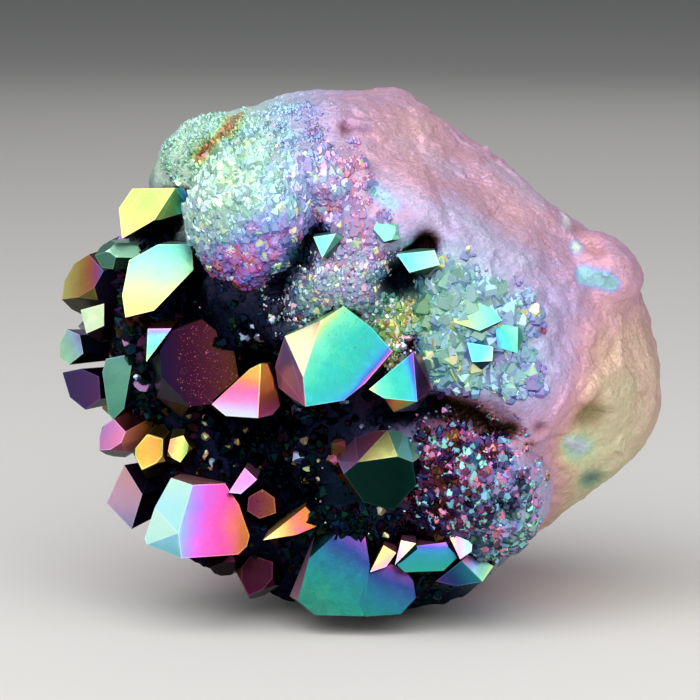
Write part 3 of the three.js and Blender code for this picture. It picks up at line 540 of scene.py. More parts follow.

# For each crystal, "rest" is the film on the facets not listed, and "rim" how far the phase moves at a
# facet's edge. Each listed facet: the way it looks; the way its bands run as seen from the front (across,
# up); stops along that way from 0 to 1, each with its film; and, where several facets of a joined crystal
# look the same way, the share of its box (across, up) that this one is nearest to.
# The stops' lustre and bloom are partly painted light: facets that face the dark surroundings, such as the
# dark maroon and dark green faces, are painted near black, and facets that face the lamps are painted pale.
crystalFilms = {
    "hero_turquoise": {"rest": (0.72, 0.9, 0.1), "rim": -0.03, "facets": [
        ((0.3, -0.87, 0.39), (0.72, -0.69), [
            (0, 0.88, 1, 0.25), (0.08, 0.8, 1, 0.12), (0.2, 0.67, 1, 0.03), (0.45, 0.61, 0.97, 0),
            (0.78, 0.59, 0.92, 0), (0.9, 0.52, 0.85, 0), (0.95, 0.4, 0.8, 0), (0.98, 0.24, 0.9, 0),
            (1, 0.18, 1, 0.2)]),
        ((-0.5, -0.68, 0.55), right, [
            (0, 0.88, 1, 0.45), (0.6, 0.92, 1, 0.55), (0.9, 0.97, 1, 0.4), (1, 1.12, 1, 0.3)]),
        ((-0.88, -0.46, 0.09), right, [
            (0, 0.18, 0.9, 0.35), (0.2, 0.26, 0.78, 0.3), (0.7, 0.27, 0.7, 0.25), (1, 0.22, 0.7, 0.2)]),
        ((-0.45, 0, 0.89), right, [(0, 0.72, 0.9, 0.2), (1, 0.8, 1, 0.2)])]},
    "small_turquoise": {"rest": (0.26, 0.35, 0), "rim": -0.04, "facets": [
        ((-0.35, -0.85, 0.4), (0.95, 0.25), [
            (0, 0.86, 0.95, 0.15), (0.14, 0.72, 0.88, 0), (0.45, 0.61, 0.8, 0), (0.76, 0.58, 0.78, 0),
            (0.88, 0.4, 0.65, 0), (1, 0.28, 0.55, 0)]),
        ((0.78, -0.53, 0.33), right, [
            (0, 0.28, 0.55, 0), (0.3, 0.22, 0.28, 0), (0.8, 0.2, 0.25, 0), (1, 0.17, 0.55, 0.1)]),
        ((-0.25, -0.51, -0.82), right, [
            (0, 0.17, 0.45, 0), (0.35, 0.07, 0.65, 0), (0.7, -0.04, 0.55, 0), (1, -0.1, 0.35, 0)]),
        ((0.02, -0.39, -0.92), right, [(0, 0.1, 0.4, 0), (1, 0.45, 0.3, 0)])]},
    "orange_pink": {"rest": (0.06, 0.7, 0), "rim": -0.06, "facets": [
        ((-0.53, -0.79, 0.32), down, [
            (0, 0, 1, 0.05), (0.28, 0.05, 1, 0.05), (0.5, 0.16, 1, 0.08), (0.72, 0.2, 1, 0.2),
            (0.9, 0.32, 1, 0.6), (1, 0.5, 1, 0.6)]),
        ((0.8, -0.58, 0.19), down, [
            (0, 0, 0.97, 0), (0.5, 0.04, 0.92, 0), (0.8, 0.13, 0.92, 0), (1, 0.19, 1, 0.1)])]},
    "dark_maroon": {"rest": (0.34, 0.05, 0), "rim": 0, "facets": [
        ((0.15, -0.92, 0.36), (1, 0.15), [
            (0, 0.32, 0.02, 0), (0.3, 0.2, 0.04, 0), (0.6, 0.15, 0.09, 0), (0.9, 0.09, 0.13, 0),
            (1, 0.02, 0.08, 0)], (0.55, 0.45)),
        ((0.1, -0.95, 0.25), down, [
            (0, 0.26, 0.9, 0.15), (0.2, 0.5, 0.9, 0.2), (0.6, 0.64, 0.9, 0.12),
            (1, 0.84, 0.9, 0.1)], (0.1, 0.8)),
        ((-0.15, 0, 0.98), right, [(0, 0.16, 0.5, 0.1), (1, -0.08, 0.35, 0)])]},
    "dark_green": {"rest": (0.22, 0.3, 0), "rim": 0, "facets": [
        ((0, -0.93, -0.36), right, [(0, 0.62, 0.12, 0), (0.8, 0.64, 0.08, 0), (1, 0.6, 0.12, 0)]),
        ((-0.15, -0.72, 0.68), right, [(0, 0.93, 0.72, 0.2), (1, 0.88, 0.85, 0.2)]),
        ((-0.22, -0.66, 0.71), right, [(0, 0.24, 0.6, 0.15), (1, 0.12, 0.7, 0.2)]),
        ((-0.57, -0.59, 0.58), right, [(0, 0.3, 0.55, 0.3), (1, 0.24, 0.6, 0.2)]),
        ((-0.64, -0.49, -0.6), right, [(0, 0.07, 0.4, 0), (1, 0, 0.3, 0)]),
        ((0.39, -0.59, 0.7), right, [(0, 0.66, 1, 0.2), (1, 0.54, 1, 0.2)]),
        ((0.64, -0.45, 0.62), right, [(0, 0.56, 1, 0.2), (1, 0.8, 0.9, 0.2)])]},
    "yellow_top_left": {"rest": (0.1, 0.12, 0), "rim": 0.05, "facets": [
        ((-0.36, -0.86, 0.36), (0.6, 0.8), [
            (0, 0.92, 1, 0.15), (0.3, 0.88, 0.95, 0.08), (0.7, 0.83, 0.93, 0.05), (1, 0.84, 1, 0.1)]),
        ((0.53, -0.82, -0.22), right, [
            (0, 0.82, 0.95, 0.05), (0.6, 0.77, 0.9, 0), (0.82, 0.6, 0.85, 0), (1, 0.34, 0.8, 0)]),
        ((0.77, -0.63, 0.05), right, [(0, 0.6, 0.8, 0), (1, 0.34, 0.8, 0)])]},
    "mint_left": {"rest": (0.95, 0.3, 0.05), "rim": 0.08, "facets": [
        ((0.1, -0.9, 0.43), down, [
            (0, 0.62, 0.95, 0.12), (0.3, 0.72, 0.93, 0.2), (0.6, 0.8, 0.92, 0.22), (0.85, 0.84, 0.9, 0.1),
            (1, 0.88, 0.92, 0.05)]),
        ((0.71, -0.24, 0.66), down, [(0, 0.55, 1, 0.3), (1, 0.9, 1, 0.5)]),
        ((0, 0.02, 1), right, [(0, 0.74, 1, 0.4), (1, 0.52, 1, 0.3)])]},
    "left_mint": {"rest": (0.68, 0.75, 0.3), "rim": 0.05, "facets": []},
    "left_olive": {"rest": (0.93, 0.3, 0.1), "rim": 0.1, "facets": [
        ((-0.51, -0.69, 0.52), right, [
            (0, 0.9, 0.55, 0.15), (0.4, 0.97, 0.45, 0.1), (0.7, 1.1, 0.45, 0.1), (1, 1.32, 0.45, 0.15)]),
        ((0.46, -0.89, 0.03), right, [(0, 0.32, 0.3, 0.1), (1, 0.4, 0.3, 0.2)])]},
    "left_lime": {"rest": (0.16, 0.2, 0), "rim": 0.04, "facets": [
        ((-0.31, -0.93, 0.21), (1, -0.4), [(0, 0.74, 1, 0.35), (0.5, 0.8, 1, 0.6), (1, 0.8, 1, 0.4)])]},
    "far_left": {"rest": (0.3, 0.35, 0.1), "rim": 0.06, "facets": [
        ((-0.36, -0.92, 0.15), (1, 0.4), [
            (0, 0.78, 0.92, 0.3), (0.5, 0.62, 0.92, 0.4), (1, 0.34, 0.8, 0.4)])]},
    "left_violet": {"rest": (0.3, 0.22, 0.05), "rim": 0.05, "facets": [
        ((-0.31, -0.94, -0.1), right, [(0, 0.34, 0.3, 0.1), (1, 0.26, 0.35, 0.1)])]},
    "teal_column": {"rest": (0.3, 0.35, 0.25), "rim": -0.03, "facets": [
        ((-0.2, -0.97, 0.15), down, [(0, 0.58, 0.85, 0.25), (0.3, 0.64, 0.82, 0.2), (1, 0.67, 0.74, 0.1)])]},
    "magenta_low_left": {"rest": (0.05, 0.35, 0), "rim": -0.03, "facets": [
        ((0.2, -0.89, 0.41), (1, -0.12), [
            (0, 0.44, 0.92, 0.15), (0.14, 0.32, 0.85, 0.05), (0.33, 0.23, 0.74, 0), (0.6, 0.18, 0.72, 0),
            (0.8, 0.12, 0.62, 0), (1, 0.05, 0.42, 0)]),
        ((-0.49, -0.7, 0.52), down, [(0, 0.62, 1, 0.45), (0.5, 0.54, 1, 0.35), (1, 0.58, 1, 0.3)]),
        ((-0.57, -0.7, 0.42), down, [(0, 0.6, 1, 0.5), (1, 0.62, 1, 0.4)]),
        ((-0.55, -0.8, 0.25), down, [(0, 0.52, 1, 0.25), (1, 0.56, 0.9, 0.2)]),
        ((0.07, 0.02, 1), right, [(0, 0.13, 0.9, 0.35), (1, 0.1, 0.8, 0.2)])]},
    "peach_left": {"rest": (0.24, 0.35, 0.1), "rim": 0.06, "facets": [
        ((-0.31, -0.94, 0.1), down, [(0, 0.14, 0.95, 0.45), (0.6, 0.22, 0.92, 0.5), (1, 0.34, 0.8, 0.4)])]},
    "pink_left": {"rest": (0.12, 0.35, 0), "rim": 0.04, "facets": [
        ((-0.5, -0.8, 0.34), right, [(0, 0.24, 0.7, 0.2), (1, 0.18, 0.9, 0.2)]),
        ((0.52, -0.85, -0.08), right, [(0, 0.14, 0.95, 0.2), (1, 0.05, 0.7, 0)])]},
    "gold_left": {"rest": (0, 0.4, 0), "rim": -0.06, "facets": [
        ((-0.21, -0.84, 0.5), right, [
            (0, 0.93, 0.45, 0), (0.35, 1.01, 0.8, 0), (0.7, 1.04, 0.75, 0), (1, 0.95, 0.4, 0)])]},
    "amber_left": {"rest": (0.95, 0.4, 0), "rim": 0, "facets": [
        ((-0.35, -0.81, 0.48), (1, -0.2), [
            (0, 1.07, 0.85, 0.1), (0.3, 0.98, 0.9, 0.15), (0.7, 0.9, 0.8, 0.1), (1, 0.8, 0.55, 0)])]},
    "pink_pyramid": {"rest": (0.24, 0.8, 0.1), "rim": 0.03, "facets": [
        ((0, -0.91, 0.41), (0.2, -1), [(0, 0.16, 1, 0.12), (0.5, 0.2, 1, 0.1), (1, 0.32, 1, 0.1)]),
        ((0.65, -0.07, 0.76), right, [(0, 0.16, 1, 0.3), (1, 0.24, 0.9, 0.2)])]},
    "maroon_pocket": {"rest": (0.12, 0.2, 0), "rim": -0.03, "facets": [
        ((0.1, -0.96, 0.25), right, [(0, 0.18, 0.2, 0), (1, 0.07, 0.35, 0)])]},
    "gold_low": {"rest": (0.02, 0.55, 0), "rim": 0.03, "facets": [
        ((0.2, -0.88, 0.42), (1, 0.4), [
            (0, -0.05, 1, 0.3), (0.35, 0.02, 0.95, 0.1), (0.7, 0.12, 0.8, 0), (1, 0.04, 0.6, 0)]),
        ((-0.58, 0, 0.82), right, [(0, -0.04, 1, 0.2), (1, 0.02, 0.8, 0)])]},
    "low_dark": {"rest": (0.16, 0.1, 0), "rim": 0, "facets": []},
    "green_bottom": {"rest": (0.6, 0.1, 0), "rim": 0, "facets": [
        ((-0.1, -0.96, 0.26), (-0.55, -0.83), [
            (0, 0.17, 0.95, 0), (0.08, 0.29, 0.6, 0), (0.22, 0.38, 0.45, 0), (0.42, 0.52, 0.48, 0),
            (0.7, 0.61, 0.58, 0), (1, 0.64, 0.5, 0)], (0.35, 0.5)),
        ((0.15, -0.94, 0.31), (-0.4, -0.9), [
            (0, 0.18, 0.8, 0.1), (0.1, 0.28, 0.42, 0), (0.3, 0.4, 0.32, 0), (0.75, 0.54, 0.36, 0),
            (1, 0.6, 0.4, 0)], (0.85, 0.35)),
        ((-0.91, -0.24, 0.33), down, [(0, 0.26, 0.8, 0.2), (1, 0.19, 1, 0.5)]),
        ((0, -0.1, 1), right, [(0, 0.24, 0.7, 0.3), (1, 0.2, 0.8, 0.1)])]},
    "bottom_row": {"rest": (0.6, 0.35, 0.05), "rim": 0, "facets": [
        ((-0.3, -0.86, 0.41), (0.5, -0.9), [
            (0, -0.04, 0.95, 0.1), (0.5, 0.02, 1, 0.2), (1, 0.17, 1, 0.2)], (0.2, 0.5)),
        ((-0.89, 0.04, 0.45), down, [(0, -0.02, 0.8, 0), (1, 0.18, 1, 0.2)], (0.15, 0.5)),
        ((-0.2, -0.9, 0.35), (1, 0.3), [
            (0, 0.5, 1, 0.3), (0.25, 0.22, 1, 0.35), (0.6, -0.04, 1, 0.6),
            (1, -0.1, 0.8, 0.3)], (0.45, 0.65)),
        ((0, -0.93, 0.36), down, [
            (0, 0.2, 0.9, 0.1), (0.12, 0.32, 0.6, 0), (0.35, 0.52, 0.42, 0),
            (1, 0.62, 0.45, 0)], (0.75, 0.45)),
        ((0.1, -0.04, 0.99), right, [(0, 0.15, 0.8, 0.2), (1, 0.22, 0.8, 0.2)])]},
    "bottom_block": {"rest": (0.3, 0.6, 0.1), "rim": 0, "facets": [
        ((-0.1, -0.92, 0.38), (1, 0.1), [
            (0, -0.06, 1, 0.4), (0.25, 0.12, 1, 0.25), (0.5, 0.27, 1, 0.3), (0.75, 0.5, 1, 0.3),
            (1, 0.84, 1, 0.2)])]},
    "low_right": {"rest": (0.4, 0.3, 0), "rim": 0, "facets": [
        ((0.1, -0.97, 0.2), (1, 0.5), [(0, 0.28, 0.25, 0), (0.5, 0.45, 0.25, 0), (1, 0.58, 0.4, 0)]),
        ((0.35, -0.84, 0.42), (1, -0.6), [
            (0, 0.12, 1, 0.2), (0.25, 0.3, 1, 0.3), (0.55, 0.52, 1, 0.3), (0.85, 0.7, 1, 0.2),
            (1, 0.92, 1, 0.3)]),
        ((-0.59, -0.07, 0.8), right, [(0, 0.3, 0.4, 0), (1, 0.2, 0.9, 0.1)])]},
    "side_upper": {"rest": (0.3, 0.65, 0.2), "rim": 0.12, "facets": []},
    "side_middle": {"rest": (0.62, 0.65, 0.1), "rim": -0.12, "facets": []},
    "side_low": {"rest": (-0.04, 0.6, 0.1), "rim": 0.1, "facets": []},
    "side_back": {"rest": (0.16, 0.65, 0.15), "rim": 0.1, "facets": []},
    "shelf_pyramid": {"rest": (0.58, 0.78, 0.15), "rim": 0, "facets": [
        ((-0.2, -0.91, 0.35), right, [(0, 0.66, 0.95, 0.05), (0.5, 0.6, 0.95, 0.15), (1, 0.54, 1, 0.25)])]},
    "mint_block": {"rest": (0.7, 0.95, 0.2), "rim": 0, "facets": [
        ((0, -0.91, 0.41), right, [(0, 0.55, 0.97, 0.05), (0.4, 0.6, 0.97, 0.12), (1, 0.7, 1, 0.2)])]},
    "right_flake": {"rest": (0.6, 0.95, 0.1), "rim": 0, "facets": [
        ((-0.1, -0.9, 0.42), right, [(0, 0.84, 0.93, 0.08), (0.6, 0.72, 0.93, 0.06), (1, 0.6, 0.9, 0.05)])]},
    "right_square": {"rest": (0.56, 0.95, 0.1), "rim": 0, "facets": [
        ((0.2, -0.9, 0.38), (1, 0.4), [(0, 0.4, 0.9, 0), (0.3, 0.58, 0.93, 0.04), (1, 0.74, 0.93, 0.1)])]},
    "right_wedge": {"rest": (0.48, 0.95, 0.1), "rim": 0, "facets": [
        ((-0.1, -0.93, 0.35), (1, -0.6), [
            (0, 0.46, 0.93, 0.04), (0.5, 0.57, 0.93, 0.06), (1, 0.8, 0.93, 0.12)])]},
}

crystalShape = {
    "weld": (0.002, 0.02),  # before and after triangles in one plane become one face
    "flatWithin": math.radians(1.2),
    "looksWithin": 0.93,  # cosine within which a face counts as looking a facet's way
    "nearCounts": 0.12,  # how much a place away from the facet's own counts against it
    "bevel": 0.05,
    "sharp": math.radians(10),  # edges that turn less than this are not bevelled
    "longest": 4,  # nor are edges shorter than this many bevels
    "broad": 0.5,  # faces smaller than this in square millimetres stay plain
    "broadCut": 0.6,  # what is left of that after the bevel
    "rims": (0.10, 0.35),  # widths of the two bands inside each face's edge
    "rimMost": 0.3,  # most that a band takes of its face
    "samePlane": (0.9995, 0.999),  # cosines within which a face lies in a broad face's plane
    "fine": (0.8, 3),  # broad faces' edges longer than this get this many cuts, to carry the bands
    "hollow": 0.02,  # how far a corner may turn back before a face counts as hollow
}

# Painted light on a crystal's film: faces that look up and forward are painted brighter and paler, faces that
# look down darker.
crystalLight = {
    "forward": 0.35,  # how much the way forward counts against the way up
    "rim": (-0.9, 0.1), "rest": (-0.9, 0.5),  # painted from black to fully bright
    "rimLustre": 0.18, "rimBloom": 0.16,  # painted highlight added at a facet's edge on the lit side
    "shade": 0.15,  # painted shade: lustre left on the faces that look down
    "turnPhase": 0.10, "runPhase": 0.03,  # how far the phase differs from face to face, and along one
}


def inwardReach(face):
    # about the radius of the largest circle inside the face
    return 2 * face.calc_area() / max(face.calc_perimeter(), 1e-6)


def isConvex(face):
    corners = [v.co for v in face.verts]
    for i, corner in enumerate(corners):
        before, after = corner - corners[i - 1], corners[(i + 1) % len(corners)] - corner
        if before.cross(after).dot(face.normal) < -crystalShape["hollow"] * before.length * after.length:
            return False
    return True


def numberFacets(look, shape):
    # each whole face gets the number of the listed facet that looks its way and lies nearest, or 0
    layer = shape.faces.layers.int.new("facet")
    low, high = ([pick(v.co[i] for v in shape.verts) for i in range(3)] for pick in (min, max))
    for face in shape.faces:
        middle = face.calc_center_median_weighted()
        place = [(middle[i] - low[i]) / (high[i] - low[i]) for i in (0, 2)]
        best = crystalShape["looksWithin"]
        for number, (looks, _, _, *near) in enumerate(look["facets"], 1):
            fit = face.normal.dot(Vector(looks).normalized())
            if near:
                fit -= crystalShape["nearCounts"] * math.dist(place, near[0])
            if fit > best:
                best = fit
                face[layer] = number


def inPlaneOf(face, wide, within):
    return any(face.normal.dot(normal) > within for normal in wide)


def makeCrystal(node):
    look = crystalFilms[node]
    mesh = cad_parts[node].data.copy()
    mesh.transform(Matrix.Scale(1 / mm, 4))
    shape = bmesh.new()
    shape.from_mesh(mesh)
    bmesh.ops.remove_doubles(shape, verts=shape.verts, dist=crystalShape["weld"][0])
    bmesh.ops.dissolve_limit(shape, angle_limit=crystalShape["flatWithin"], verts=shape.verts,
                             edges=shape.edges)
    bmesh.ops.remove_doubles(shape, verts=shape.verts, dist=crystalShape["weld"][1])
    shape.normal_update()
    numberFacets(look, shape)
    broad, bevel = crystalShape["broad"], crystalShape["bevel"]
    wide = [f.normal.copy() for f in shape.faces if f.calc_area() > broad]
    sharp = [e for e in shape.edges if e.is_manifold and e.calc_face_angle() > crystalShape["sharp"]
             and min(f.calc_area() for f in e.link_faces) > broad
             and e.calc_length() > crystalShape["longest"] * bevel]
    bmesh.ops.bevel(shape, geom=sharp, offset=bevel, offset_type="OFFSET", affect="EDGES", segments=1,
                    profile=0.5, material=-1, clamp_overlap=True)
    shape.normal_update()
    # level: 0 at a facet's edge, 1 and more inside its bands
    level = shape.verts.layers.float.new("level")
    rims = crystalShape["rims"]
    inner = [f for f in shape.faces if f.calc_area() > crystalShape["broadCut"] * broad
             and inPlaneOf(f, wide, crystalShape["samePlane"][0])]
    for face in [f for f in inner if not isConvex(f)]:
        inner.remove(face)
        for vertex in face.verts:
            vertex[level] = len(rims)
    for step, width in enumerate(rims, 1):
        for face in inner:
            # a ring inside the face's edge, drawn toward its middle
            middle = face.calc_center_median_weighted()
            share = min(crystalShape["rimMost"], width / inwardReach(face))
            bmesh.ops.inset_individual(shape, faces=[face], thickness=0)
            for vertex in face.verts:
                vertex.co = vertex.co.lerp(middle, share)
                vertex[level] = step
    for vertex in bmesh.ops.poke(shape, faces=inner)["verts"]:
        vertex[level] = len(rims)
    bmesh.ops.triangulate(shape, faces=shape.faces)
    longest, cuts = crystalShape["fine"]
    flat = {f for f in shape.faces if inPlaneOf(f, wide, crystalShape["samePlane"][1])}
    edges = [e for e in shape.edges if e.calc_length() > longest and any(f in flat for f in e.link_faces)]
    bmesh.ops.subdivide_edges(shape, edges=edges, cuts=cuts, use_grid_fill=True)
    bmesh.ops.triangulate(shape, faces=shape.faces)
    shape.verts.index_update()
    levels = np.array([v[level] for v in shape.verts])
    shape.verts.layers.float.remove(level)
    layer = shape.faces.layers.int["facet"]
    facets = np.array([f[layer] for f in shape.faces]).repeat(3)
    shape.faces.layers.int.remove(layer)
    shape.to_mesh(mesh)
    shape.free()
    mesh.transform(Matrix.Scale(mm, 4))
    normals, corners, owner = cornerArrays(mesh)
    film = facetFilm(look, normals, corners, facets)
    rimShare = np.clip(1 - levels[owner], 0, 1)
    # painted highlight: facet edges that look up and forward get more lustre and bloom
    lit = smoothStep(*crystalLight["rim"], normals[:, 2] - crystalLight["forward"] * normals[:, 1])
    film[:, 0] += look["rim"] * rimShare
    film[:, 1] = np.clip(film[:, 1] + crystalLight["rimLustre"] * rimShare * lit, 0, 1)
    film[:, 2] = np.clip(film[:, 2] + crystalLight["rimBloom"] * rimShare * lit * film[:, 1], 0, 1)
    setFilm(mesh, film)
    mesh.name = node + "Mesh"
    finishPiece(node + "_film", mesh, filmedCrystal, [node])


def facetFilm(look, normals, corners, facets):
    # each listed facet's bands run across it; the other faces share the crystal's own film, with painted
    # shade on those that look down and painted highlight on those that look up
    low, high = corners.min(axis=0), corners.max(axis=0)
    share = (corners - low) / (high - low)
    phase, lustre, bloom = look["rest"]
    up = smoothStep(*crystalLight["rest"], normals[:, 2] - crystalLight["forward"] * normals[:, 1])
    shade = crystalLight["shade"]
    phases = phase + crystalLight["turnPhase"] * normals[:, 0]
    phases = phases + crystalLight["runPhase"] * (share[:, 0] - share[:, 2])
    film = np.stack([phases, lustre * (shade + (1 - shade) * up), bloom * up], axis=1)
    for number, (looks, along, stops, *_) in enumerate(look["facets"], 1):
        mine = facets == number
        if not mine.any():
            print("no facet", number, looks)
            continue
        run = (corners[:, [0, 2]] @ (np.array(along) / np.linalg.norm(along)))[mine]
        t = (run - run.min()) / max(run.max() - run.min(), 1e-6)
        stops = np.array(stops)
        for k in range(3):
            film[mine, k] = np.interp(t, stops[:, 0], stops[:, k + 1])
    return film


for crystalNode in crystalFilms:
    makeCrystal(crystalNode)
print("crystals:", len(crystalFilms))

# the druse of small points
pointShape = {
    "variants": 12,
    "firstSeed": 100,
    "sides": 6,
    "blank": (1.15, 6.0),  # radius and height of the column that the faces are cut from
    "columnStands": (0.7, 1.05),  # how far the column's faces stand from its axis, least and most
    "slope": math.radians(38.2),
    "tip": 0.9,  # height of the shortest sloping face at the axis
    "tipVary": (-0.05, 0.35),
    "tipOther": 0.2,  # every other sloping face stands this much higher
    "foot": -0.6,
}


def makePoint(seed):
    # one small quartz point: a six-sided column cut to a tip by faces that stand unevenly
    draw = np.random.default_rng(seed)
    shape = bmesh.new()
    wide, tall = pointShape["blank"]
    bmesh.ops.create_cone(shape, cap_ends=True, segments=pointShape["sides"], radius1=wide, radius2=wide,
                          depth=tall)
    for i in range(pointShape["sides"]):
        angle = i * math.tau / pointShape["sides"]
        outward = Vector((math.cos(angle), math.sin(angle), 0))
        slope = outward * math.cos(pointShape["slope"]) + Vector((0, 0, math.sin(pointShape["slope"])))
        higher = pointShape["tipOther"] if i % 2 else 0
        stand = pointShape["tip"] + draw.uniform(*pointShape["tipVary"]) + higher
        side = outward * draw.uniform(*pointShape["columnStands"])
        for normal, point in ((outward, side), (slope, Vector((0, 0, stand)))):
            cut = bmesh.ops.bisect_plane(shape, geom=shape.verts[:] + shape.edges[:] + shape.faces[:],
                                         plane_co=point, plane_no=normal, clear_outer=True)
            rim = [e for e in cut["geom_cut"] if isinstance(e, bmesh.types.BMEdge)]
            if rim:
                bmesh.ops.edgenet_fill(shape, edges=rim)
    for vertex in shape.verts:
        vertex.co.z = max(vertex.co.z, pointShape["foot"])
    bmesh.ops.triangulate(shape, faces=shape.faces)
    bmesh.ops.recalc_face_normals(shape, faces=shape.faces)
    mesh = bpy.data.meshes.new("point")
    shape.to_mesh(mesh)
    shape.free()
    places, triangles = readAll(mesh.vertices, "co", 3), np.array([p.vertices for p in mesh.polygons])
    bpy.data.meshes.remove(mesh)
    return places, triangles


points = [makePoint(pointShape["firstSeed"] + i) for i in range(pointShape["variants"])]
print("point variants:", len(points), "faces each about", int(np.mean([len(t) for _, t in points])))

crust = {
    "lumpSize": 1.6,  # size of the low lumps in which the crust stands
    "ragged": ((0.16, 2.3, 1.1), (0.12, -1.0, 4.1)),  # waves in a bed's edge: height, speed across and up
    "edge": (0.60, 1.20),  # shares of a spot's half size between which the bed thins out
    "edgeSize": 0.30,  # size of the points at a bed's edge against those at its middle
    "leanBy": 0.5,
    "largest": 2.1,  # most that a point's radius is of the usual one
    "buried": (0.02, 0.18),  # openness below which a point starts under a crystal, and above which it doesn't
    "buriedSize": 0.3,
    "patch": 1.1,  # neighbours share their colour and brightness in patches of about this width
    "patchBy": 3.0, "pointBy": 0.4,  # how far the phase goes with patch and point, in the bed's scatter
    "shadeMiddle": 0.5, "shadeBy": 1.2, "shadeVary": 0.15,  # the same for how dim a point is
    "glintLustre": 0.95,
    "turnPhase": (0.10, 0.05),  # how far the phase differs between a point's faces, across and up
    "lit": (-0.9, 0.2), "forward": 0.3,  # as in crystalLight
}

# What a bed of points may give, and what it is where a bed doesn't say. Each also gives the round spots that
# it covers (place in the box, half sizes), how many points, their radius, and the openness at which they are
# painted black as shade, and fully bright.
usualBed = {
    "vary": 0.42,  # how much the radius varies
    "lean": 0.38,  # how far the points lean
    "upright": 0.50,  # how far they turn from the surface's way to straight up
    "turn": 0.35,  # how far they are from standing parallel
    "lump": 0.35,  # height of the crust's lumps
    "scatter": 0.06,  # how much the phase differs from point to point
    "dim": 0.60,  # how much the brightness does
    "shaded": 0.80,  # how dark the faces that look down are painted, as shade
    "glint": 0.03,  # share of the points that get a painted glint
    "glintAbove": 0.0,  # least lustre of such a point
    "glintFilm": (0.5, 0.9),  # phases that it may have
    "glintBloom": 0.30,
}
shelfPoints = {
    "radius": 0.26, "open": (0.0, 0.26), "lean": 0.36, "lump": 0.45, "dim": 0.12, "shaded": 0.20,
    "glint": 0.08, "glintAbove": 0.30, "glintFilm": (0.50, 0.74, 0.86), "glintBloom": 0.60,
}
druseBeds = {
    "druse_shelf": {
        "spots": [((0.29, 0.18, 0.84), (5.6, 10, 5.6)), ((0.28, 0.10, 0.71), (4.0, 7, 3.2))],
        "count": 4300, **shelfPoints},
    "druse_shelf_right": {
        "spots": [((0.42, 0.14, 0.84), (4.8, 9, 4.6)), ((0.39, 0.10, 0.77), (4.0, 7, 3.0)),
                  ((0.47, 0.10, 0.78), (3.6, 7, 2.8))],
        "count": 3500, **shelfPoints},
    "druse_crown": {
        "spots": [((0.24, 0.36, 0.93), (5.0, 9, 4.4)), ((0.36, 0.30, 0.96), (5.0, 8, 3.0))],
        "count": 2300, "radius": 0.145, "open": (0.05, 0.40), "vary": 0.30, "lean": 0.35, "upright": 0.40,
        "turn": 0.50, "lump": 0.20, "scatter": 0.03, "dim": 0.10, "shaded": 0.30, "glintAbove": 0.30,
        "glintFilm": (0.50, 0.62, 0.74), "glintBloom": 0.50},
    "druse_upper": {
        "spots": [((0.41, 0.06, 0.66), (4.4, 7, 4.4)), ((0.50, 0.06, 0.68), (3.8, 7, 3.8)),
                  ((0.56, 0.06, 0.60), (2.6, 7, 4.0))],
        "count": 4100, "radius": 0.185, "open": (0.0, 0.20), "vary": 0.40, "lump": 0.40, "scatter": 0.09,
        "dim": 0.05, "shaded": 0.20, "glint": 0.32, "glintAbove": 0.12, "glintFilm": (0.50, 0.56, 0.20, 0.90),
        "glintBloom": 0.60},
    "druse_right": {
        "spots": [((0.65, 0.06, 0.63), (3.2, 7, 4.4)), ((0.71, 0.06, 0.60), (3.8, 7, 3.8)),
                  ((0.74, 0.06, 0.51), (3.2, 7, 2.4)), ((0.65, 0.06, 0.53), (3.2, 7, 3.4))],
        "count": 1500, "radius": 0.42, "open": (0.0, 0.22), "vary": 0.45, "lean": 0.30, "turn": 0.30,
        "dim": 0.15, "shaded": 0.30, "glint": 0.14, "glintAbove": 0.12, "glintFilm": (0.50, 0.70, 0.88),
        "glintBloom": 0.50},
    "druse_low": {
        "spots": [((0.66, 0.06, 0.35), (5.4, 8, 3.4)), ((0.62, 0.06, 0.29), (3.6, 8, 4.4)),
                  ((0.71, 0.06, 0.27), (4.8, 8, 4.0)), ((0.73, 0.06, 0.18), (3.6, 8, 3.2))],
        "count": 4300, "radius": 0.225, "open": (0.06, 0.38), "upright": 0.45, "scatter": 0.12, "dim": 0.75,
        "shaded": 0.65, "glint": 0.24, "glintFilm": (0.17, 0.22, 0.50, 0.55, 0.62), "glintBloom": 0.22},
    "druse_cavity": {
        "spots": [((0.34, 0.25, 0.40), (11, 11, 9.5))],
        "count": 1100, "radius": 0.29, "open": (0.25, 0.85), "vary": 0.5, "lean": 0.5, "upright": 0.20,
        "turn": 1.50, "lump": 0.30, "scatter": 0.16, "glint": 0.12, "glintFilm": (0.0, 0.42, 0.92),
        "glintBloom": 0.40},
    "druse_left": {
        "spots": [((0.08, 0.40, 0.50), (7, 11, 13))],
        "count": 1300, "radius": 0.36, "open": (0.35, 0.85), "vary": 0.5, "lean": 0.5, "upright": 0.10,
        "turn": 2.00, "lump": 0.20, "scatter": 0.25, "dim": 0.5, "glintFilm": (0.3, 0.6, 0.9)},
    "druse_bottom": {
        "spots": [((0.50, 0.12, 0.14), (12, 7, 5.0))],
        "count": 1300, "radius": 0.28, "open": (0.40, 0.90), "vary": 0.5, "lean": 0.5, "upright": 0.00,
        "turn": 2.00, "lump": 0.20, "scatter": 0.20, "glint": 0.02, "glintFilm": (0.18, 0.5, 0.9)},
}

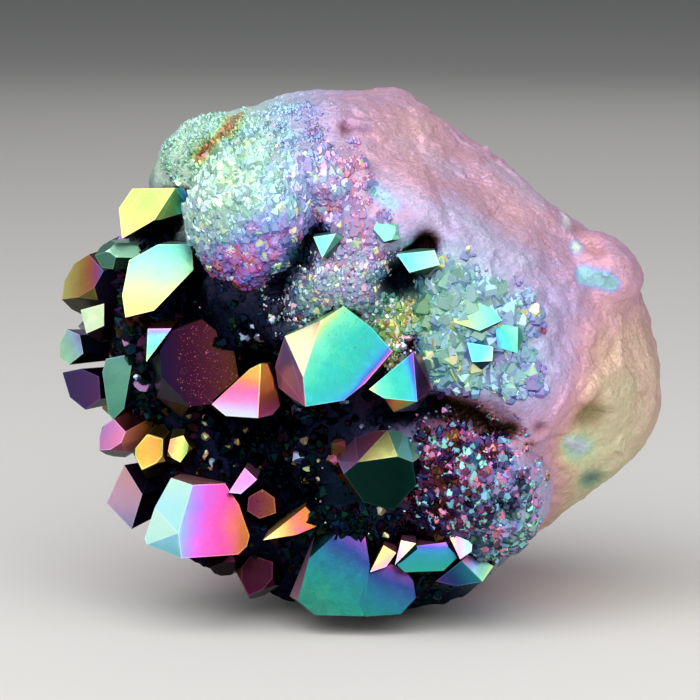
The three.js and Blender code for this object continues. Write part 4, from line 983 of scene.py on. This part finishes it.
# Single points larger than their neighbours, as seen from the front: place (across, height), radius, the
# way the tip leans (right, up), how much longer than wide, film.
loosePoints = [
    ((0.548, 0.778), 1.3, (0.9, 1.2), 0.5, (0.6, 1, 0.2)),
    ((0.715, 0.185), 0.6, (0.4, 0.6), 1.3, (0.2, 1, 0.4)),
    ((0.752, 0.213), 0.75, (0.5, 0.5), 1.3, (0.5, 1, 0.3)),
    ((0.747, 0.18), 0.6, (0.3, 0.6), 1.2, (0.58, 1, 0.3)),
    ((0.739, 0.135), 0.6, (0.5, 0.5), 1.3, (0.25, 1, 0.5)),
    ((0.69, 0.17), 0.55, (0.1, 0.7), 1.2, (0.55, 1, 0.2)),
    ((0.666, 0.292), 0.36, (0.2, 0.6), 1, (0.52, 1, 0.3)),
    ((0.675, 0.267), 0.38, (-0.2, 0.6), 1, (0.56, 1, 0.2)),
    ((0.723, 0.347), 0.45, (0.3, 0.7), 1, (0.5, 1, 0.3)),
    ((0.534, 0.241), 0.5, (0.2, 0.7), 1.2, (0.92, 1, 0.65)),
    ((0.462, 0.362), 0.8, (-0.6, 0.5), 1.4, (0.05, 0.6, 0.05)),
    ((0.455, 0.335), 0.7, (-0.7, 0.2), 1.3, (0.12, 0.8, 0.15)),
    ((0.145, 0.51), 0.6, (0, 0.9), 2.2, (0.3, 0.55, 0.3)),
    ((0.3, 0.35), 0.45, (0.3, 0.8), 1.2, (0.02, 0.8, 0.2)),
    ((0.34, 0.31), 0.5, (0.2, 0.8), 1.2, (0.95, 0.7, 0.25)),
    ((0.385, 0.33), 0.4, (0.4, 0.7), 1.2, (0.5, 0.8, 0.45)),
    ((0.36, 0.42), 0.45, (-0.2, 0.8), 1.4, (0.4, 0.5, 0.35)),
    ((0.41, 0.375), 0.4, (-0.1, 0.8), 1.4, (0.92, 0.7, 0.3)),
]

loose = {
    "from": -0.5,  # how far in front of the box the search for the rock starts, in its depths
    "sunk": 0.15,  # how far the point sinks in, in its radius
    "byNormal": 0.5,  # how far it leans the rock's way
    "shaded": 0.8, "turn": 3.0,  # as in usualBed
}

# Rows of tiny growth pits and specks that catch the light on a crystal's face, seen from the front: the
# corners of the box they lie in (across, height), how many, the slope of the rows, radius, film and how
# much its phase differs.
sparkles = {
    "dark_maroon": {"low": (0.35, 0.10), "high": (1.00, 0.95), "count": 900, "slope": 0.8, "radius": 0.05,
                    "film": (0.12, 0.85, 0.05), "scatter": 0.06},
    "maroon_pocket": {"low": (0.2, 0.1), "high": (0.9, 0.9), "count": 60, "slope": 0.6, "radius": 0.05,
                      "film": (0.06, 0.80, 0.10), "scatter": 0.05},
    "hero_turquoise": {"low": (0.35, 0.55), "high": (0.85, 0.98), "count": 70, "slope": 0.9, "radius": 0.045,
                       "film": (0.22, 0.80, 0.10), "scatter": 0.10},
}
speckRules = {
    "rows": 13,
    "rowVary": 0.022,  # how far a speck strays from its row, in the box's width
    "from": 5.0,  # how far in front of the crystal the search for its face starts
    "facing": -0.6,  # only faces that look at least this far forward carry specks
    "lean": 0.35,
    "dim": 0.7,
    "vary": 0.3,
    "sunk": 0.6,
}

sharedTurn = math.radians(30)  # which way the sides of parallel points look
sharedSide = np.array([math.cos(sharedTurn), math.sin(sharedTurn), 0.0])


def inSpots(bed, places):
    # 1 well inside the bed, 0 outside, with a ragged edge
    best = np.zeros(len(places))
    ragged = sum(by * np.sin(across * places[:, 0] + up * places[:, 2]) for by, across, up in crust["ragged"])
    for at, reach in bed["spots"]:
        away = np.linalg.norm((places - spot(*at)) / np.array(reach), axis=1) + ragged
        best = np.maximum(best, 1 - smoothStep(*crust["edge"], away))
    return best


def joinPoints(name, at, up, radius, film, long=1.0, shaded=loose["shaded"], turn=loose["turn"]):
    # one mesh of many small points: places, axes, radii in millimetres and the film of each
    count = len(at)
    front = unit(np.cross(up, sharedSide + random.normal(0, turn, (count, 3))))
    side = np.cross(front, up)
    tall = radius * long
    kinds = random.integers(0, len(points), count)
    allPlaces, allTriangles, allFilm, start = [], [], [], 0
    for kind, (shape, triangles) in enumerate(points):
        mine = np.flatnonzero(kinds == kind)
        x, y, z = (shape[None, :, i:i + 1] for i in range(3))
        turned = (x * side[mine, None] + y * front[mine, None]) * radius[mine, None, None]
        turned = turned + z * up[mine, None] * tall[mine, None, None] + at[mine, None]
        allPlaces.append(turned.reshape(-1, 3))
        step = np.arange(len(mine))[:, None, None] * len(shape)
        allTriangles.append((triangles[None] + step + start).reshape(-1, 3))
        start += len(mine) * len(shape)
        allFilm.append(film[mine].repeat(len(triangles), axis=0))
    druse = bpy.data.meshes.new(name + "Mesh")
    druse.from_pydata(np.concatenate(allPlaces) * mm, [], np.concatenate(allTriangles))
    normals = cornerArrays(druse)[0]
    corner = np.concatenate(allFilm).repeat(3, axis=0)
    byAcross, byUp = crust["turnPhase"]
    corner[:, 0] += byAcross * normals[:, 0] + byUp * normals[:, 2]
    # painted shade on point faces that look down, painted highlight (bloom) only on those that look up
    lit = smoothStep(*crust["lit"], normals[:, 2] - crust["forward"] * normals[:, 1])
    corner[:, 1] = np.clip(corner[:, 1] * (1 - shaded + shaded * lit), 0, 1)
    corner[:, 2] = np.clip(corner[:, 2] * lit, 0, 1)
    setFilm(druse, corner)
    print(name, len(druse.polygons), "faces")
    finishPiece(name, druse, filmedDruse)


def makeBed(name, bed):
    places, _, corners = meshArrays(rockPiece.data)
    a, b, c = (places[corners[:, i]] for i in range(3))
    cross = np.cross(b - a, c - a)
    cover = inSpots(bed, (a + b + c) / 3)
    weight = np.linalg.norm(cross, axis=1) * cover
    count = bed["count"]
    chosen = random.choice(len(corners), count, p=weight / weight.sum())
    u, v = random.random(count), random.random(count)
    flip = u + v > 1
    u[flip], v[flip] = 1 - u[flip], 1 - v[flip]
    at = a[chosen] + u[:, None] * (b - a)[chosen] + v[:, None] * (c - a)[chosen]
    outward, cover = unit(cross[chosen]), cover[chosen]
    lump = np.array([noise.noise(Vector(p) / crust["lumpSize"]) for p in at])
    at = at + outward * (bed["lump"] * lump * cover)[:, None]
    up = unit(outward * (1 - bed["upright"]) + np.array([0, 0, bed["upright"]])
              + random.normal(0, bed["lean"] * crust["leanBy"], (count, 3)))
    spread = np.minimum(np.exp(random.normal(0, bed["vary"], count)), crust["largest"])
    radius = bed["radius"] * spread * (crust["edgeSize"] + (1 - crust["edgeSize"]) * cover)
    sky = openness(at, outward)
    # points that start under a crystal stay under it
    radius *= crust["buriedSize"] + (1 - crust["buriedSize"]) * smoothStep(*crust["buried"], sky)
    # painted shade: points that see little of the sky are painted dark
    seen = smoothStep(*bed["open"], sky)
    film = filmAt(at)
    patch = np.array([noise.noise_vector(Vector(p) / crust["patch"]) for p in at])
    film[:, 0] += (crust["patchBy"] * bed["scatter"] * patch[:, 0]
                   + random.normal(0, crust["pointBy"] * bed["scatter"], count))
    shade = crust["shadeMiddle"] + crust["shadeBy"] * patch[:, 1]
    shade = np.clip(shade + random.normal(0, crust["shadeVary"], count), 0, 1)
    film[:, 1] *= (1 - bed["dim"] * shade * cover) * seen
    # painted glints: some points are painted bright and pale, as light catching them
    glint = (random.random(count) < bed["glint"]) & (film[:, 1] > bed["glintAbove"])
    film[glint, 1] = np.maximum(film[glint, 1], crust["glintLustre"] * np.sqrt(seen[glint]))
    film[glint, 0] = random.choice(bed["glintFilm"], int(glint.sum()))
    film[glint, 2] = bed["glintBloom"]
    joinPoints(name, at, up, radius, film, shaded=bed["shaded"], turn=bed["turn"])


def makeLoosePoints():
    places, _, triangles = meshArrays(rockPiece.data)
    surface = surfaceOf(places, triangles)
    found = []
    for (across, height), radius, (right, up), long, film in loosePoints:
        hit, normal, _, _ = surface.ray_cast(Vector(spot(across, loose["from"], height)), Vector((0, 1, 0)))
        if hit is None:
            print("no rock behind", across, height)
            continue
        lean = Vector((right, -1.0, up)).normalized()
        at = np.array(hit) - loose["sunk"] * radius * np.array(lean)
        found.append((at, (lean + normal * loose["byNormal"]).normalized(), radius, film, long))
    at, up, radius, film, long = (np.array(column) for column in zip(*found))
    joinPoints("loose_points", at, up, radius, film, long)


def makeSparkles(node, look):
    places, _, triangles = meshArrays(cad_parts[node].data)
    surface = surfaceOf(places, triangles)
    low, high = places.min(axis=0), places.max(axis=0)
    size = high - low
    rows = speckRules["rows"]
    at, up = [], []
    for _ in range(look["count"]):
        row = round(random.random() * rows) / rows + random.normal(0, speckRules["rowVary"])
        run = random.random()
        share = ((row + look["slope"] * run) % 1.0, run)
        across, height = (look["low"][i] + share[i] * (look["high"][i] - look["low"][i]) for i in range(2))
        start = Vector((low[0] + across * size[0], low[1] - speckRules["from"], low[2] + height * size[2]))
        hit, normal, _, _ = surface.ray_cast(start, Vector((0, 1, 0)))
        if hit is not None and normal.y < speckRules["facing"]:
            at.append(hit)
            up.append((normal + Vector(random.normal(0, speckRules["lean"], 3))).normalized())
    at, up = np.array(at), np.array(up)
    film = np.tile(np.array(look["film"]), (len(at), 1))
    film[:, 0] += random.normal(0, look["scatter"], len(at))
    film[:, 1] *= 1 - speckRules["dim"] * random.random(len(at))
    radius = look["radius"] * np.exp(random.normal(0, speckRules["vary"], len(at)))
    joinPoints(node + "_specks", at - up * radius[:, None] * speckRules["sunk"], up, radius, film)


for bedName, bedLook in druseBeds.items():
    makeBed(bedName, {**usualBed, **bedLook})
makeLoosePoints()
for speckNode, speckLook in sparkles.items():
    makeSparkles(speckNode, speckLook)

# floor, light and camera
studio = {
    "floorSize": 6000,
    "floor": ("DAD8D5", 0.9),  # colour and roughness
    "floorDrop": 0.02,
    "world": ("DFE3E8", 0.16),
    "distance": 300,
    "elevation": math.radians(8),
    "lens": 184.6,  # a field of 58.5 mm at that distance on a 36 mm sensor
    "clipStart": 10,
    "aimOff": (-0.84, -1.1, 0.1),  # from the box's centre
}
softBoxes = {
    "overhead": {"from": (-30, -260, 380), "size": 640, "watts": 2.6},
    "front": {"from": (90, -560, 190), "size": 480, "watts": 0.9},
    "left": {"from": (-400, -170, 330), "size": 560, "watts": 1.3},
    "right": {"from": (430, -240, 200), "size": 360, "watts": 0.4},
    "back": {"from": (120, 460, 330), "size": 520, "watts": 0.3},
}

floorShape = bmesh.new()
bmesh.ops.create_grid(floorShape, x_segments=1, y_segments=1, size=studio["floorSize"] / 2 * mm)
floorMesh = bpy.data.meshes.new("floorMesh")
floorShape.to_mesh(floorMesh)
floorShape.free()
paleFloor = bpy.data.materials.new("paleMattFloor")
paleFloor.use_nodes = True
floorShader = paleFloor.node_tree.nodes["Principled BSDF"].inputs
floorShader["Base Color"].default_value = colour(studio["floor"][0])
floorShader["Roughness"].default_value = studio["floor"][1]
floorMesh.materials.append(paleFloor)
floorObject = addObject("floor", floorMesh)
floorObject.location.z = cadLow[2] - studio["floorDrop"] * mm

world = bpy.data.worlds.new("softStudio")
bpy.context.scene.world = world
world.use_nodes = True
background = world.node_tree.nodes["Background"].inputs
background["Color"].default_value = colour(studio["world"][0])
background["Strength"].default_value = studio["world"][1]
bpy.context.scene.view_settings.view_transform = "Standard"

centre = (cadLow + cadHigh) / 2
for boxName, box in softBoxes.items():
    lamp = bpy.data.lights.new(boxName, "AREA")
    lamp.size = box["size"] * mm
    lamp.energy = box["watts"]
    lampObject = addObject(boxName, lamp)
    lampObject.location = centre + Vector(box["from"]) * mm
    lampObject.rotation_euler = (centre - lampObject.location).to_track_quat("-Z", "Y").to_euler()

cameraData = bpy.data.cameras.new("camera")
cameraData.lens = studio["lens"]
cameraData.clip_start = studio["clipStart"] * mm
cameraObject = addObject("camera", cameraData)
aim = centre + Vector(studio["aimOff"]) * mm
back = Vector((0, -math.cos(studio["elevation"]), math.sin(studio["elevation"])))
cameraObject.location = aim + back * studio["distance"] * mm
cameraObject.rotation_euler = (-back).to_track_quat("-Z", "Y").to_euler()
bpy.context.scene.camera = cameraObject
print("lights:", len(softBoxes))
